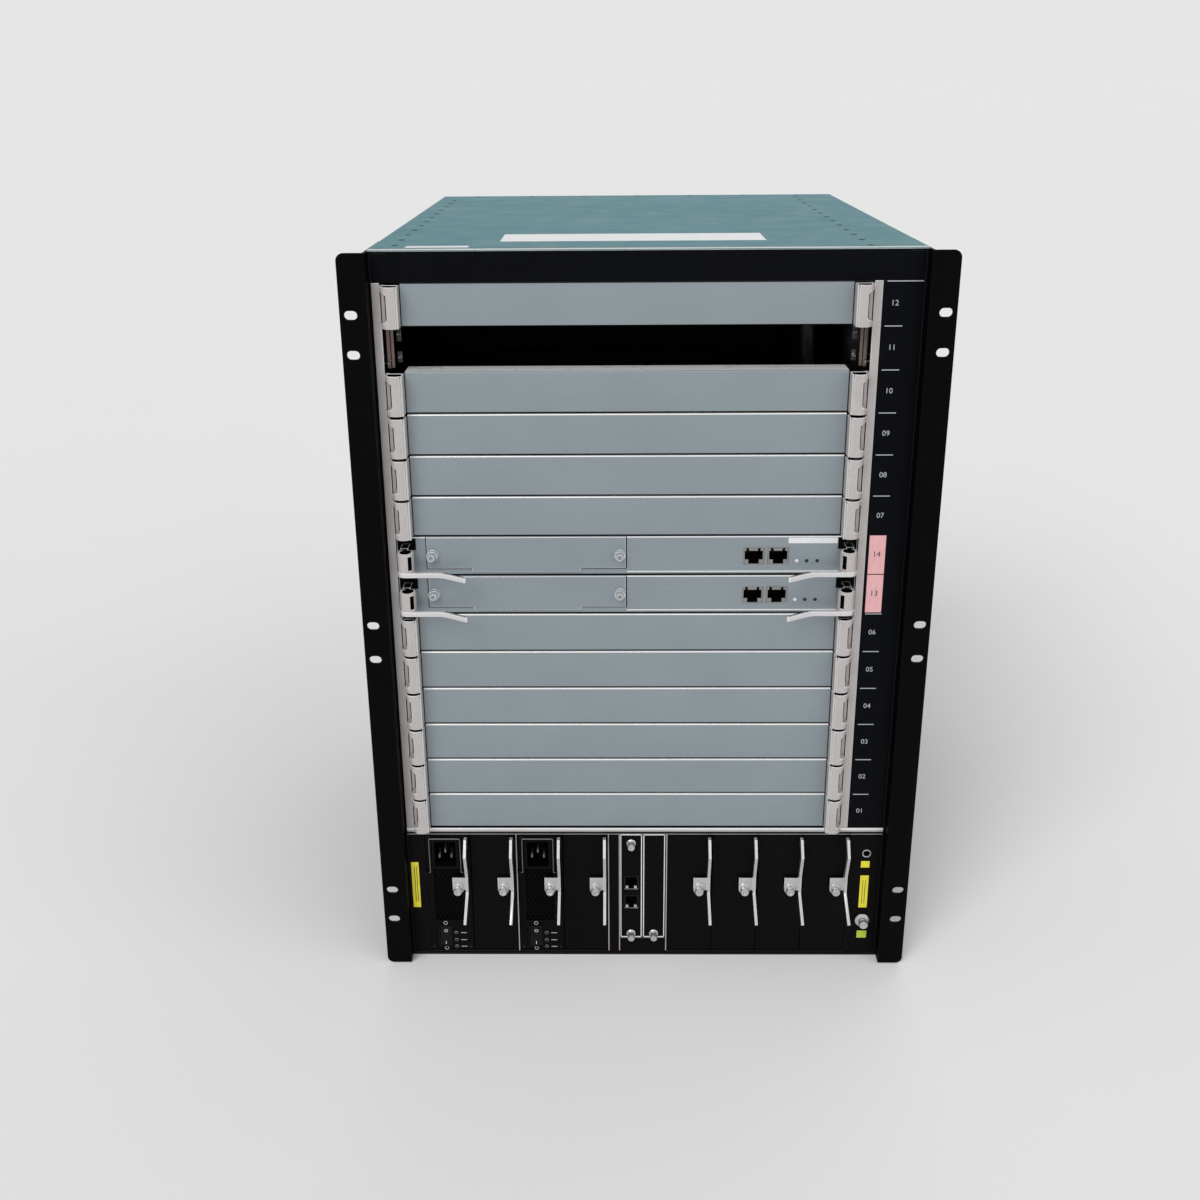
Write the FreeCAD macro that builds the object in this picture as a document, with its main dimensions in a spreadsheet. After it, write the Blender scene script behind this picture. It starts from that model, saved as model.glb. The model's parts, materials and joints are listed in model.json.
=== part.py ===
"""Modular chassis switch: a 15-unit rack chassis with fourteen card slots, a power bay and rear fans.

Frame: +X to the right seen from the front, +Y to the rear, +Z up, in millimetres.
The origin is the centre of the underside. Every size is a cell of the sheet "Sizes".
"""
import FreeCAD
import Part
import math
import os

import Sketcher
from FreeCAD import Vector

# ---------------------------------------------------------------- driving dimensions
SIZES = {
    # chassis
    "chassis_width": 438,
    "chassis_height": 664,
    "chassis_depth": 464,
    "sheet": 1.5,
    "flange": 12,
    "fascia_height": 26,
    "fascia_return": 10,
    "label_column_width": 32.5,
    "intake_field_width": 84,
    "intake_field_depth": 0.8,
    "intake_web": 16,
    "intake_columns": 3,
    "intake_rows": 2,
    # mounting ears
    "ear_thickness": 2,
    "ear_leaf_width": 22.3,
    "ear_forward": 12,
    "ear_side_length": 74,
    "ear_end_gap": 1,
    "ear_corner_radius": 6,
    "ear_hole_from_tip": 8.75,
    "ear_hole_width": 7.2,
    "ear_hole_length": 10.5,
    "ear_end_hole": 49.4,
    "ear_pair_spacing": 31.8,
    # card cage
    "slot_count": 14,
    "shelf_height": 140.16,
    "rail_width": 6.5,
    "rail_depth": 34,
    "rail_lip": 2.5,
    "guide_rib": 1.6,
    "guide_reach": 8,
    "guide_gap": 0.2,
    "face_setback": 1,
    "face_thickness": 1.5,
    "card_gap": 1,
    "filler_top_flange": 20,
    "filler_bottom_flange": 8,
    "handle_width": 14.5,
    "handle_depth": 12.5,
    "handle_round": 8,
    "handle_gap": 1.6,
    "handle_bite": 3,
    "handle_bite_end": 7,
    "handle_bite_slope": 4,
    "handle_groove": 1,
    "handle_clearance": 0.8,
    # control boards
    "board_seat_gap": 0.5,
    "board_thickness": 2.4,
    "board_height_in_slot": 6,
    "port_width": 17,
    "port_height": 14.6,
    "port_depth": 20,
    "port_from_right": 94.9,
    "port_spacing": 20.6,
    "port_above_slot": 10,
    "port_wall": 1.5,
    "subcard_width": 168,
    "subcard_gap": 0.56,
    "subcard_thickness": 1.6,
    "subcard_from_left": 26,
    "subcard_above_slot": 4,
    "subcard_notch_width": 38,
    "subcard_notch_height": 3,
    "thumb_radius": 4.2,
    "thumb_length": 4,
    "thumb_inset": 5,
    # ejector levers of the control boards
    "ejector_hub_radius": 7,
    "ejector_hub_height": 19.5,
    "ejector_above_slot": 8,
    "ejector_arm_thickness": 4,
    "ejector_arm_depth": 3,
    "ejector_bend_at": 31,
    "ejector_reach": 58,
    "ejector_flare": 15,
    "ejector_window_height": 11,
    "ejector_window_width": 3,
    "ejector_window_depth": 4,
    "ejector_pin_radius": 1.6,
    "ejector_clearance": 1,
    "ejector_play": 0.3,
    "ejector_ear": 1.2,
    "pivot_clearance": 0.05,
    # power bay
    "shelf_lip_height": 7,
    "shelf_depth": 310,
    "bay_margin": 15,
    "module_spacing": 42,
    "module_gap": 0.4,
    "module_depth": 296,
    "module_clearance_height": 0.8,
    "pair_gap": 7.5,
    "blank_return": 16,
    "module_face_setback": 1,
    "inlet_width": 24,
    "inlet_height": 31,
    "inlet_rim": 2,
    "inlet_proud": 2.5,
    "inlet_recess": 16,
    "inlet_below_top": 5,
    "inlet_from_left": 6.5,
    "inlet_pin": 4,
    "inlet_pin_thickness": 2,
    "inlet_pin_spacing": 5.5,
    "vent_width": 27,
    "vent_height": 58,
    "vent_recess": 3,
    "vent_from_bottom": 33,
    "vent_from_left": 6,
    "rocker_width": 11,
    "rocker_height": 21,
    "rocker_from_bottom": 5,
    "rocker_from_left": 9.5,
    "rocker_pocket_depth": 12,
    "rocker_gap": 0.4,
    "rocker_bulge": 3,
    "rocker_pivot_depth": 3,
    "rocker_pin_radius": 1.2,
    "rocker_back": 4,
    "bail_wire": 2.2,
    "bail_beside_inlet": 2.2,
    "bail_above_inlet": 2.2,
    "bail_below_inlet": 2.8,
    "bail_pivot_forward": 4,
    "bail_lug": 5,
    "bail_lug_thickness": 2,
    "bail_play": 0.4,
    "lever_thickness": 2.5,
    "lever_width": 6,
    "lever_from_edge": 3.2,
    "lever_pivot_below_top": 4.5,
    "lever_pivot_forward": 6,
    "lever_pivot_radius": 1.5,
    "lever_play": 0.3,
    "lever_crest": 16,
    "lever_crest_drop": 15,
    "lever_waist": 8.5,
    "lever_waist_top": 41,
    "lever_waist_bottom": 58,
    "lever_tip_forward": 33,
    "lever_tip_drop": 74,
    "lug_width": 12.5,
    "lug_height": 13,
    "lug_thickness": 1.5,
    "monitor_width": 20,
    "monitor_sill": 14,
    "monitor_depth": 200,
    "monitor_port_width": 12.5,
    "monitor_port_height": 13.5,
    "monitor_port_depth": 14,
    "monitor_port_up": 33,
    "monitor_port_spacing": 21,
    "esd_radius": 4,
    "esd_bore": 2,
    "esd_proud": 1,
    "esd_from_right": 13.5,
    "esd_height": 113.3,
    "earth_radius": 6.5,
    "earth_head_radius": 4,
    "earth_stud": 5,
    "earth_washer": 1.5,
    "earth_height": 40.7,
    # backplane and rear
    "backplane_at": 310,
    "backplane_thickness": 4,
    "backplane_side_gap": 18,
    "connector_width": 240,
    "connector_height": 22,
    "connector_depth": 16,
    "connector_from_left": 60,
    "connector_above_slot": 2,
    "tray_frame": 22,
    "tray_depth": 96,
    "tray_gap": 1,
    "tray_plate": 2,
    "tray_plate_overlap": 7,
    "fan_clearance": 3,
    "fan_edge": 12,
    "fan_hub_radius": 36,
    "fan_hub_length": 46,
    "fan_motor_radius": 28,
    "fan_motor_length": 16,
    "fan_shaft_radius": 5,
    "fan_shaft_length": 14,
    "fan_rotor_play": 1,
    "fan_wall": 3,
    "fan_strut_width": 9,
    "blade_count": 7,
    "blade_root_chord": 34,
    "blade_tip_chord": 52,
    "blade_thickness": 2.4,
    "blade_angle": 36,
    "pull_handle_width": 90,
    "pull_handle_reach": 22,
    "pull_handle_bar": 5,
    "rear_vent_width": 30,
    "rear_vent_height": 90,
    "rear_vent_spacing": 50,
    "rear_vent_count": 8,
}

document = FreeCAD.newDocument("ChassisSwitch")
sheet = document.addObject("Spreadsheet::Sheet", "Sizes")
for row, (alias, value) in enumerate(SIZES.items(), start=1):
    sheet.set(f"A{row}", alias)
    sheet.set(f"B{row}", str(value))
    sheet.setAlias(f"B{row}", alias)
document.recompute()


class Size:
    """A length worked out from cells of the sheet: its value, and the expression that gives it."""

    def __init__(self, value, text):
        self.value = value
        self.text = text

    def __add__(self, other):
        other = size(other)
        return Size(self.value + other.value, f"({self.text} + {other.text})")

    def __radd__(self, other):
        return size(other) + self

    def __sub__(self, other):
        other = size(other)
        return Size(self.value - other.value, f"({self.text} - {other.text})")

    def __rsub__(self, other):
        return size(other) - self

    def __mul__(self, other):
        other = size(other)
        return Size(self.value * other.value, f"({self.text} * {other.text})")

    def __rmul__(self, other):
        return size(other) * self

    def __truediv__(self, other):
        other = size(other)
        return Size(self.value / other.value, f"({self.text} / {other.text})")

    def __neg__(self):
        return size(0) - self


def size(value):
    """A bare number as a Size."""
    if isinstance(value, Size):
        return value
    return Size(float(value), f"({value})")


class Cells:
    """Each alias of the sheet as an attribute."""

    def __getattr__(self, alias):
        return Size(float(sheet.get(alias)), f"Sizes.{alias}")


cell = Cells()


def ordered(first, second):
    """Two sizes, the smaller one first."""
    return (first, second) if first.value <= second.value else (second, first)


# ---------------------------------------------------------------- modelling helpers
PLANES = {"X": "YZ_Plane", "Y": "XZ_Plane", "Z": "XY_Plane"}
# Sides of the outlines that stand for round pins, screws and rings, to keep their faces few.
FEW_SIDES = 12
MANY_SIDES = 24
built = []


def new_body(label, place=(0, 0, 0)):
    """An empty body with its label, placed by expressions."""
    body = document.addObject("PartDesign::Body", label)
    body.Label = label
    for axis, offset in zip("xyz", place):
        body.setExpression(f"Placement.Base.{axis}", size(offset).text)
    built.append(body)
    return body


def origin_feature(body, role):
    """The plane or axis of the body's own origin that has this role."""
    return next(item for item in body.Origin.OriginFeatures if item.Role == role)


def new_sketch(body, across, at=0):
    """A sketch square to the axis `across`, at that distance along it."""
    sketch = body.newObject("Sketcher::SketchObject", f"{body.Name}_sketch")
    sketch.AttachmentSupport = (origin_feature(body, PLANES[across]), [""])
    sketch.MapMode = "FlatFace"
    offset = -size(at) if across == "Y" else size(at)
    sketch.setExpression("AttachmentOffset.Base.z", offset.text)
    return sketch


def bind(sketch, kind, geometry, point, value):
    """Ties one coordinate of a point to its size, measured from the sketch's origin."""
    value = size(value)
    index = sketch.addConstraint(Sketcher.Constraint(kind, -1, 1, geometry, point, value.value))
    sketch.setExpression(f"Constraints[{index}]", value.text)


def bind_radius(sketch, geometry, value):
    value = size(value)
    index = sketch.addConstraint(Sketcher.Constraint("Radius", geometry, value.value))
    sketch.setExpression(f"Constraints[{index}]", value.text)


def polygon(sketch, points):
    """A closed outline of straight lines through the points."""
    points = [(size(u), size(v)) for u, v in points]
    spots = [Vector(u.value, v.value, 0) for u, v in points]
    first = sketch.GeometryCount
    for start, end in zip(spots, spots[1:] + spots[:1]):
        sketch.addGeometry(Part.LineSegment(start, end), False)
    for step, (u, v) in enumerate(points):
        following = first + (step + 1) % len(points)
        sketch.addConstraint(Sketcher.Constraint("Coincident", first + step, 2, following, 1))
        bind(sketch, "DistanceX", first + step, 1, u)
        bind(sketch, "DistanceY", first + step, 1, v)


def rectangle(sketch, left, low, right, high):
    polygon(sketch, [(left, low), (right, low), (right, high), (left, high)])


def circle(sketch, u, v, radius):
    u, v, radius = size(u), size(v), size(radius)
    outline = Part.Circle(Vector(u.value, v.value, 0), Vector(0, 0, 1), radius.value)
    index = sketch.addGeometry(outline, False)
    bind(sketch, "DistanceX", index, 3, u)
    bind(sketch, "DistanceY", index, 3, v)
    bind_radius(sketch, index, radius)


def ring(sketch, u, v, radius, sides):
    """A regular outline with this many sides, one of them square to the u axis."""
    corners = []
    for step in range(sides):
        angle = math.tau * (step + 0.5) / sides
        corners.append((size(u) + radius * round(math.cos(angle), 6),
                        size(v) + radius * round(math.sin(angle), 6)))
    polygon(sketch, corners)


def slot_hole(sketch, u, v, half_straight, radius):
    """A hole with straight sides along u and round ends."""
    u, v, half_straight, radius = size(u), size(v), size(half_straight), size(radius)
    left, right = u - half_straight, u + half_straight
    top, bottom = v.value + radius.value, v.value - radius.value
    first = sketch.GeometryCount
    normal = Vector(0, 0, 1)
    upper = Part.LineSegment(Vector(right.value, top, 0), Vector(left.value, top, 0))
    lower = Part.LineSegment(Vector(left.value, bottom, 0), Vector(right.value, bottom, 0))
    sketch.addGeometry(upper, False)
    end_circle = Part.Circle(Vector(left.value, v.value, 0), normal, radius.value)
    sketch.addGeometry(Part.ArcOfCircle(end_circle, math.pi / 2, math.pi * 3 / 2), False)
    sketch.addGeometry(lower, False)
    end_circle = Part.Circle(Vector(right.value, v.value, 0), normal, radius.value)
    sketch.addGeometry(Part.ArcOfCircle(end_circle, -math.pi / 2, math.pi / 2), False)
    for line, arc, line_end, arc_end in ((0, 1, 2, 1), (2, 1, 1, 2), (2, 3, 2, 1), (0, 3, 1, 2)):
        sketch.addConstraint(Sketcher.Constraint("Tangent", first + line, line_end, first + arc, arc_end))
    for arc, centre in ((1, left), (3, right)):
        bind(sketch, "DistanceX", first + arc, 3, centre)
        bind(sketch, "DistanceY", first + arc, 3, v)
        bind_radius(sketch, first + arc, radius)


def feature(body, kind, sketch, name):
    made = body.newObject(f"PartDesign::{kind}", f"{body.Name}_{name}")
    made.Profile = sketch
    sketch.Visibility = False
    return made


def extrude(body, across, start, end, draw):
    """A pad from start to end along the axis `across`; draw adds the outline to its sketch."""
    sketch = new_sketch(body, across, start)
    draw(sketch)
    pad = feature(body, "Pad", sketch, "pad")
    pad.setExpression("Length", (size(end) - size(start)).text)
    pad.Reversed = across == "Y"
    return pad


def cut(body, across, start, end, draw):
    """A pocket from start to end along the axis `across`. It has to take material away."""
    document.recompute()
    before = body.Shape.Volume
    sketch = new_sketch(body, across, start)
    draw(sketch)
    pocket = feature(body, "Pocket", sketch, "cut")
    pocket.setExpression("Length", (size(end) - size(start)).text)
    pocket.Reversed = across != "Y"
    document.recompute()
    if not body.Shape.Volume < before:
        raise RuntimeError(f"a cut in {body.Label} takes nothing away")
    return pocket


def repeat(body, originals, *directions):
    """Copies features along one or more axes: each direction is (axis, spacing, count)."""
    patterns = []
    many = body.newObject("PartDesign::MultiTransform", f"{body.Name}_repeat")
    many.Originals = originals
    for axis, spacing, count in directions:
        pattern = body.newObject("PartDesign::LinearPattern", f"{body.Name}_row")
        pattern.Direction = (origin_feature(body, f"{axis}_Axis"), [""])
        pattern.Mode = "Spacing"
        pattern.setExpression("Offset", size(spacing).text)
        pattern.setExpression("Occurrences", size(count).text)
        patterns.append(pattern)
    many.Transformations = patterns
    body.Tip = many
    return many


def edges_through(shape, axis, spots):
    """Names of the straight edges along an axis that pass through the given pairs of other coordinates."""
    others = [step for step in range(3) if "XYZ"[step] != axis]
    names = []
    for number, edge in enumerate(shape.Edges, start=1):
        if len(edge.Vertexes) < 2:
            continue
        start, end = edge.Vertexes[0].Point, edge.Vertexes[-1].Point
        if any(abs(start[step] - end[step]) > 1e-4 for step in others):
            continue
        for spot in spots:
            if all(abs(start[step] - size(spot[k]).value) < 1e-3 for k, step in enumerate(others)):
                names.append(f"Edge{number}")
    return names


def round_edges(body, axis, spots, radius):
    """Rounds the edges along an axis at the given places in the body's own frame."""
    document.recompute()
    base = body.Tip
    names = edges_through(base.Shape, axis, spots)
    if not names:
        raise RuntimeError(f"no edge to round in {body.Label}")
    fillet = body.newObject("PartDesign::Fillet", f"{body.Name}_round")
    fillet.Base = (base, names)
    fillet.setExpression("Radius", size(radius).text)
    return fillet


def box(body, left, right, front, back, low, high):
    """A rectangular block added to a body."""
    return extrude(body, "Z", low, high, lambda sketch: rectangle(sketch, left, front, right, back))


# ---------------------------------------------------------------- places worked out from the sizes
half_width = cell.chassis_width / 2
half_depth = cell.chassis_depth / 2
inner_half = half_width - cell.sheet
front = -half_depth
rear = half_depth
inner_rear = rear - cell.sheet
top_inner = cell.chassis_height - cell.sheet
floor = cell.sheet

slots_top = cell.chassis_height - cell.fascia_height
shelf_top = cell.shelf_height
slot_spacing = (slots_top - shelf_top) / cell.slot_count
cage_left = -inner_half
cage_right = inner_half - cell.label_column_width
card_left = cage_left + cell.rail_width
card_right = cage_right - cell.rail_width
face = front + cell.face_setback
board_depth = cell.backplane_at - cell.connector_depth - cell.board_seat_gap - cell.face_setback

bay_floor = floor + cell.sheet
bay_low = bay_floor + cell.sheet
bay_high = shelf_top - cell.shelf_lip_height
module_front = front + cell.module_face_setback
module_low = bay_low + cell.module_clearance_height / 2
module_high = bay_high - cell.module_clearance_height / 2

SLOT_NAMES = ["12", "11", "10", "09", "08", "07", "14", "13", "06", "05", "04", "03", "02", "01"]
OPEN_SLOT = "11"
CONTROL_SLOTS = ["14", "13"]


def slot_floor(position):
    """Height of the underside of a card slot, counted from the top."""
    return slots_top - (position + 1) * slot_spacing


def bay_places():
    """Left edges of the power bay's modules, and of the walls between them, from left to right."""
    modules, walls = [], []
    x = -inner_half + cell.bay_margin
    for pair in range(2):
        modules += [x, x + cell.module_spacing]
        x = x + 2 * cell.module_spacing
        walls.append(x)
        x = x + cell.sheet
    x = x + cell.pair_gap
    walls.append(x)
    monitors = x + cell.sheet
    x = monitors + cell.module_spacing
    walls.append(x)
    x = x + cell.sheet
    for blank in range(4):
        modules.append(x)
        x = x + cell.module_spacing
    walls.append(x)
    return modules, walls, monitors


module_lefts, wall_lefts, monitor_left = bay_places()
bay_right = wall_lefts[-1] + cell.sheet


# ---------------------------------------------------------------- chassis shell
def side_panel(label, side):
    """A folded side panel, flanged at the top and bottom, its web pressed in where air enters."""
    body = new_body(label)
    outer, inner = side * half_width, side * inner_half
    tip = side * (inner_half - cell.flange)
    low, high = floor, top_inner
    outline = [
        (outer, low), (tip, low), (tip, low + cell.sheet), (inner, low + cell.sheet),
        (inner, high - cell.sheet), (tip, high - cell.sheet), (tip, high), (outer, high),
    ]
    extrude(body, "Y", front, inner_rear, lambda sketch: polygon(sketch, outline))
    webs = (cell.intake_rows + 1) * cell.intake_web
    field_height = (slots_top - shelf_top - webs) / cell.intake_rows
    first_y = front + cell.rail_depth + cell.intake_web
    first_z = shelf_top + cell.intake_web
    field = cut(
        body, "X", *ordered(outer, outer - side * cell.intake_field_depth),
        lambda sketch: rectangle(sketch, first_y, first_z, first_y + cell.intake_field_width,
                                 first_z + field_height),
    )
    repeat(body, [field], ("Y", cell.intake_field_width + cell.intake_web, cell.intake_columns),
           ("Z", field_height + cell.intake_web, cell.intake_rows))
    return body


def top_cover():
    """A flat cover whose front edge is folded down behind the fascia."""
    body = new_body("top_cover")
    low, high = top_inner, cell.chassis_height
    lip_low = high - cell.fascia_return
    back = front + 2 * cell.sheet
    outline = [
        (front, high), (front, low), (front + cell.sheet, low), (front + cell.sheet, lip_low),
        (back, lip_low), (back, low), (rear, low), (rear, high),
    ]
    reach = inner_half - cell.flange
    extrude(body, "X", -half_width, half_width, lambda sketch: polygon(sketch, outline))
    for side_low, side_high in ((-half_width, -reach), (reach, half_width)):
        cut(body, "X", side_low, side_high,
            lambda sketch: rectangle(sketch, front + cell.sheet, lip_low, back, low))
    return body


def bottom_plate():
    """The plate that the sides, the frame and the rear panel stand on."""
    body = new_body("bottom_plate")
    box(body, -half_width, half_width, front, rear, 0, floor)
    return body


def front_fascia():
    """The strip above the top slot: a channel open to the rear."""
    body = new_body("front_fascia")
    reach = inner_half - cell.flange
    low, high = slots_top, top_inner - cell.sheet
    deep = front + cell.fascia_return
    lip = front + cell.sheet
    extrude(body, "Z", low, high, lambda sketch: rectangle(sketch, -inner_half, front, inner_half, lip))
    box(body, -inner_half, inner_half, lip, deep, low, low + cell.sheet)
    extrude(body, "Z", high, top_inner, lambda sketch: rectangle(sketch, -reach, front, reach, lip))
    return body


def slot_label_column():
    """The upright strip that carries the slot numbers, with a return beside the right rail."""
    body = new_body("slot_label_column")
    lip = front + cell.sheet
    outline = [
        (cage_right, front), (inner_half, front), (inner_half, lip), (cage_right + cell.sheet, lip),
        (cage_right + cell.sheet, front + cell.rail_depth), (cage_right, front + cell.rail_depth),
    ]
    extrude(body, "Z", shelf_top, slots_top, lambda sketch: polygon(sketch, outline))
    return body


def ear(label, side):
    """A mounting ear: an angle whose front leaf stands ahead of the body, with six slots in three pairs."""
    body = new_body(label)
    inner, skin = side * half_width, side * (half_width + cell.ear_thickness)
    tip = side * (half_width + cell.ear_leaf_width)
    leaf_front = front - cell.ear_forward
    leaf_back = leaf_front + cell.ear_thickness
    outline = [
        (inner, leaf_front), (tip, leaf_front), (tip, leaf_back), (skin, leaf_back),
        (skin, leaf_front + cell.ear_side_length), (inner, leaf_front + cell.ear_side_length),
    ]
    low, high = cell.ear_end_gap, cell.chassis_height - cell.ear_end_gap
    extrude(body, "Z", low, high, lambda sketch: polygon(sketch, outline))
    straight = (cell.ear_hole_length - cell.ear_hole_width) / 2
    column = tip - side * cell.ear_hole_from_tip
    hole = cut(
        body, "Y", leaf_front, leaf_back,
        lambda sketch: slot_hole(sketch, column, cell.ear_end_hole, straight, cell.ear_hole_width / 2),
    )
    to_middle_pair = (cell.chassis_height - cell.ear_pair_spacing) / 2 - cell.ear_end_hole
    repeat(body, [hole], ("Z", cell.ear_pair_spacing, 2), ("Z", to_middle_pair, 3))
    round_edges(body, "Y", [(tip, low), (tip, high)], cell.ear_corner_radius)
    return body


# ---------------------------------------------------------------- card cage
def card_rail(label, wall, side):
    """An upright rail: a strip in front, and a rib under each slot's card edge.

    wall is the outer side of the rail; side is +1 if the cards lie to its right.
    """
    body = new_body(label)
    lip_front = front
    lip_back = front + cell.rail_lip
    web = wall + side * cell.sheet
    inner = wall + side * cell.rail_width
    outline = [
        (wall, lip_front), (inner, lip_front), (inner, lip_back), (web, lip_back),
        (web, lip_front + cell.rail_depth), (wall, lip_front + cell.rail_depth),
    ]
    extrude(body, "Z", shelf_top, slots_top, lambda sketch: polygon(sketch, outline))
    rib_tip = web + side * cell.guide_reach
    rib_low = shelf_top + cell.board_height_in_slot - cell.guide_rib - cell.guide_gap
    rib = extrude(
        body, "Z", rib_low, rib_low + cell.guide_rib,
        lambda sketch: rectangle(sketch, web, lip_back + cell.rail_lip, rib_tip,
                                 lip_front + cell.rail_depth),
    )
    repeat(body, [rib], ("Z", slot_spacing, cell.slot_count))
    return body


# Where the middle facet of a rounded corner meets the corner's diagonal, as a part of its radius.
ROUND_MIDDLE = 0.3


def filler(name, position):
    """A blank filler panel with its latch block at each end, drawn from its own slot's lower edge."""
    body = new_body(f"filler_slot_{name}", (0, face, slot_floor(position)))
    low, high = cell.card_gap / 2, slot_spacing - cell.card_gap / 2
    left, right = card_left + cell.handle_clearance, card_right - cell.handle_clearance
    skin = cell.face_thickness
    outline = [
        (0, low), (cell.filler_bottom_flange, low), (cell.filler_bottom_flange, low + skin),
        (skin, low + skin), (skin, high - skin), (cell.filler_top_flange, high - skin),
        (cell.filler_top_flange, high), (0, high),
    ]
    extrude(body, "X", left, right, lambda sketch: polygon(sketch, outline))
    low, high = cell.handle_gap / 2, slot_spacing - cell.handle_gap / 2
    for outer, side in ((left, 1), (right, -1)):
        latch_block(body, outer, side, low, high)
    return body


def latch_block(body, outer, side, low, high):
    """The grip at one end of a filler: rounded in front, grooved inside, and waisted beside its rail."""
    inner = outer + side * cell.handle_width
    groove = inner - side * 2 * cell.handle_groove
    groove_end = groove + side * cell.handle_groove
    tip = -cell.handle_depth
    slope = tip + cell.handle_groove
    facet = cell.handle_round * ROUND_MIDDLE
    outline = [
        (outer, 0), (outer, tip + cell.handle_round), (outer + side * facet, tip + facet),
        (outer + side * cell.handle_round, tip), (groove, slope), (groove, slope + cell.handle_groove),
        (groove_end, slope + cell.handle_groove), (groove_end, slope), (inner, slope), (inner, 0),
    ]
    extrude(body, "Z", low, high, lambda sketch: polygon(sketch, outline))
    waist = outer + side * cell.handle_bite
    bite_low, bite_high = low + cell.handle_bite_end, high - cell.handle_bite_end
    bite = [
        (outer, bite_low), (waist, bite_low + cell.handle_bite_slope),
        (waist, bite_high - cell.handle_bite_slope), (outer, bite_high),
    ]
    cut(body, "Y", tip, 0, lambda sketch: polygon(sketch, bite))


def control_board(name, position):
    """A control board: its faceplate and card in one, with two network ports through the face."""
    body = new_body(f"control_board_{name}", (0, face, slot_floor(position)))
    low, high = cell.card_gap / 2, slot_spacing - cell.card_gap / 2
    left, right = card_left + cell.handle_clearance, card_right - cell.handle_clearance
    skin = cell.face_thickness
    card_low = cell.board_height_in_slot
    card_high = card_low + cell.board_thickness
    outline = [
        (0, low), (skin, low), (skin, card_low), (board_depth, card_low),
        (board_depth, card_high), (skin, card_high), (skin, high - skin),
        (cell.filler_bottom_flange, high - skin), (cell.filler_bottom_flange, high), (0, high),
    ]
    extrude(body, "X", left, right, lambda sketch: polygon(sketch, outline))
    port_right = right - cell.port_from_right + cell.port_spacing + cell.port_width
    port_low = cell.port_above_slot
    for number in range(2):
        port_left = port_right - cell.port_width - (1 - number) * cell.port_spacing
        port_end = port_left + cell.port_width
        wall = cell.port_wall
        box(body, port_left - wall, port_end + wall, skin, cell.port_depth + wall, card_high,
            port_low + cell.port_height + wall)
        cut(body, "Y", 0, cell.port_depth,
            lambda sketch: rectangle(sketch, port_left, port_low, port_end, port_low + cell.port_height))
    ejector_bearings(body)
    return body


def subcard(name, position):
    """The cover plate of the plug-in sub-card, notched below each end, with two captive thumb screws."""
    body = new_body(f"subcard_{name}", (0, face - cell.subcard_thickness, slot_floor(position)))
    left = card_left + cell.subcard_from_left
    right = left + cell.subcard_width
    low = cell.subcard_above_slot
    high = slot_spacing - cell.subcard_gap
    step, rise = cell.subcard_notch_width, low + cell.subcard_notch_height
    outline = [
        (left, high), (left, rise), (left + step, rise), (left + step, low), (right - step, low),
        (right - step, rise), (right, rise), (right, high),
    ]
    extrude(body, "Y", 0, cell.subcard_thickness, lambda sketch: polygon(sketch, outline))
    middle = (low + high) / 2
    for x in (left + cell.thumb_inset, right - cell.thumb_inset):
        extrude(body, "Y", -cell.thumb_length, 0,
                lambda sketch: ring(sketch, x, middle, cell.thumb_radius, FEW_SIDES))
    return body


def ejector_pivot_x(side):
    """Where an ejector turns; side is +1 for the left lever and -1 for the right one."""
    inset = cell.handle_clearance + cell.ejector_hub_radius + cell.ejector_clearance
    if side > 0:
        return card_left + inset
    return card_right - inset


ejector_pivot_y = face - cell.ejector_hub_radius - cell.ejector_clearance


def ejector_bearings(body):
    """The two ears of a control board at each end, with the upright pin of the ejector between them."""
    low = cell.ejector_above_slot - cell.ejector_arm_thickness - cell.ejector_play
    high = cell.ejector_above_slot + cell.ejector_hub_height + cell.ejector_play
    pin_y = ejector_pivot_y - face
    half = 2 * cell.ejector_pin_radius
    for side in (1, -1):
        x = ejector_pivot_x(side)
        for ear_low in (low - cell.ejector_ear, high):
            box(body, x - half, x + half, pin_y - half, 0, ear_low, ear_low + cell.ejector_ear)
        extrude(body, "Z", low - cell.ejector_ear, high,
                lambda sketch: ring(sketch, x, pin_y, cell.ejector_pin_radius, FEW_SIDES))


def ejector(name, position, side, word):
    """An ejector lever, drawn about its own upright pivot: a hub with a window, and a cranked flat arm."""
    place = (ejector_pivot_x(side), ejector_pivot_y, slot_floor(position))
    body = new_body(f"ejector_{name}_{word}", place)
    radius = cell.ejector_hub_radius
    hub_low = cell.ejector_above_slot
    hub_high = hub_low + cell.ejector_hub_height
    arm_low = hub_low - cell.ejector_arm_thickness
    extrude(body, "Z", arm_low, hub_high, lambda sketch: ring(sketch, 0, 0, radius, FEW_SIDES))
    arm_back = cell.ejector_arm_depth - radius
    bend, end = side * cell.ejector_bend_at, side * cell.ejector_reach
    outline = [
        (0, -radius), (bend, -radius), (end, -radius - cell.ejector_flare),
        (end, arm_back - cell.ejector_flare), (bend, arm_back), (0, arm_back),
    ]
    extrude(body, "Z", arm_low, hub_low, lambda sketch: polygon(sketch, outline))
    window_low = (hub_low + hub_high - cell.ejector_window_height) / 2
    window_inner = side * cell.ejector_window_width / 2
    window_outer = window_inner + side * cell.ejector_window_width
    cut(body, "Y", -radius, cell.ejector_window_depth - radius,
        lambda sketch: rectangle(sketch, window_inner, window_low, window_outer,
                                 window_low + cell.ejector_window_height))
    cut(body, "Z", arm_low, hub_high,
        lambda sketch: circle(sketch, 0, 0, cell.ejector_pin_radius + cell.pivot_clearance))
    return body


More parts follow.
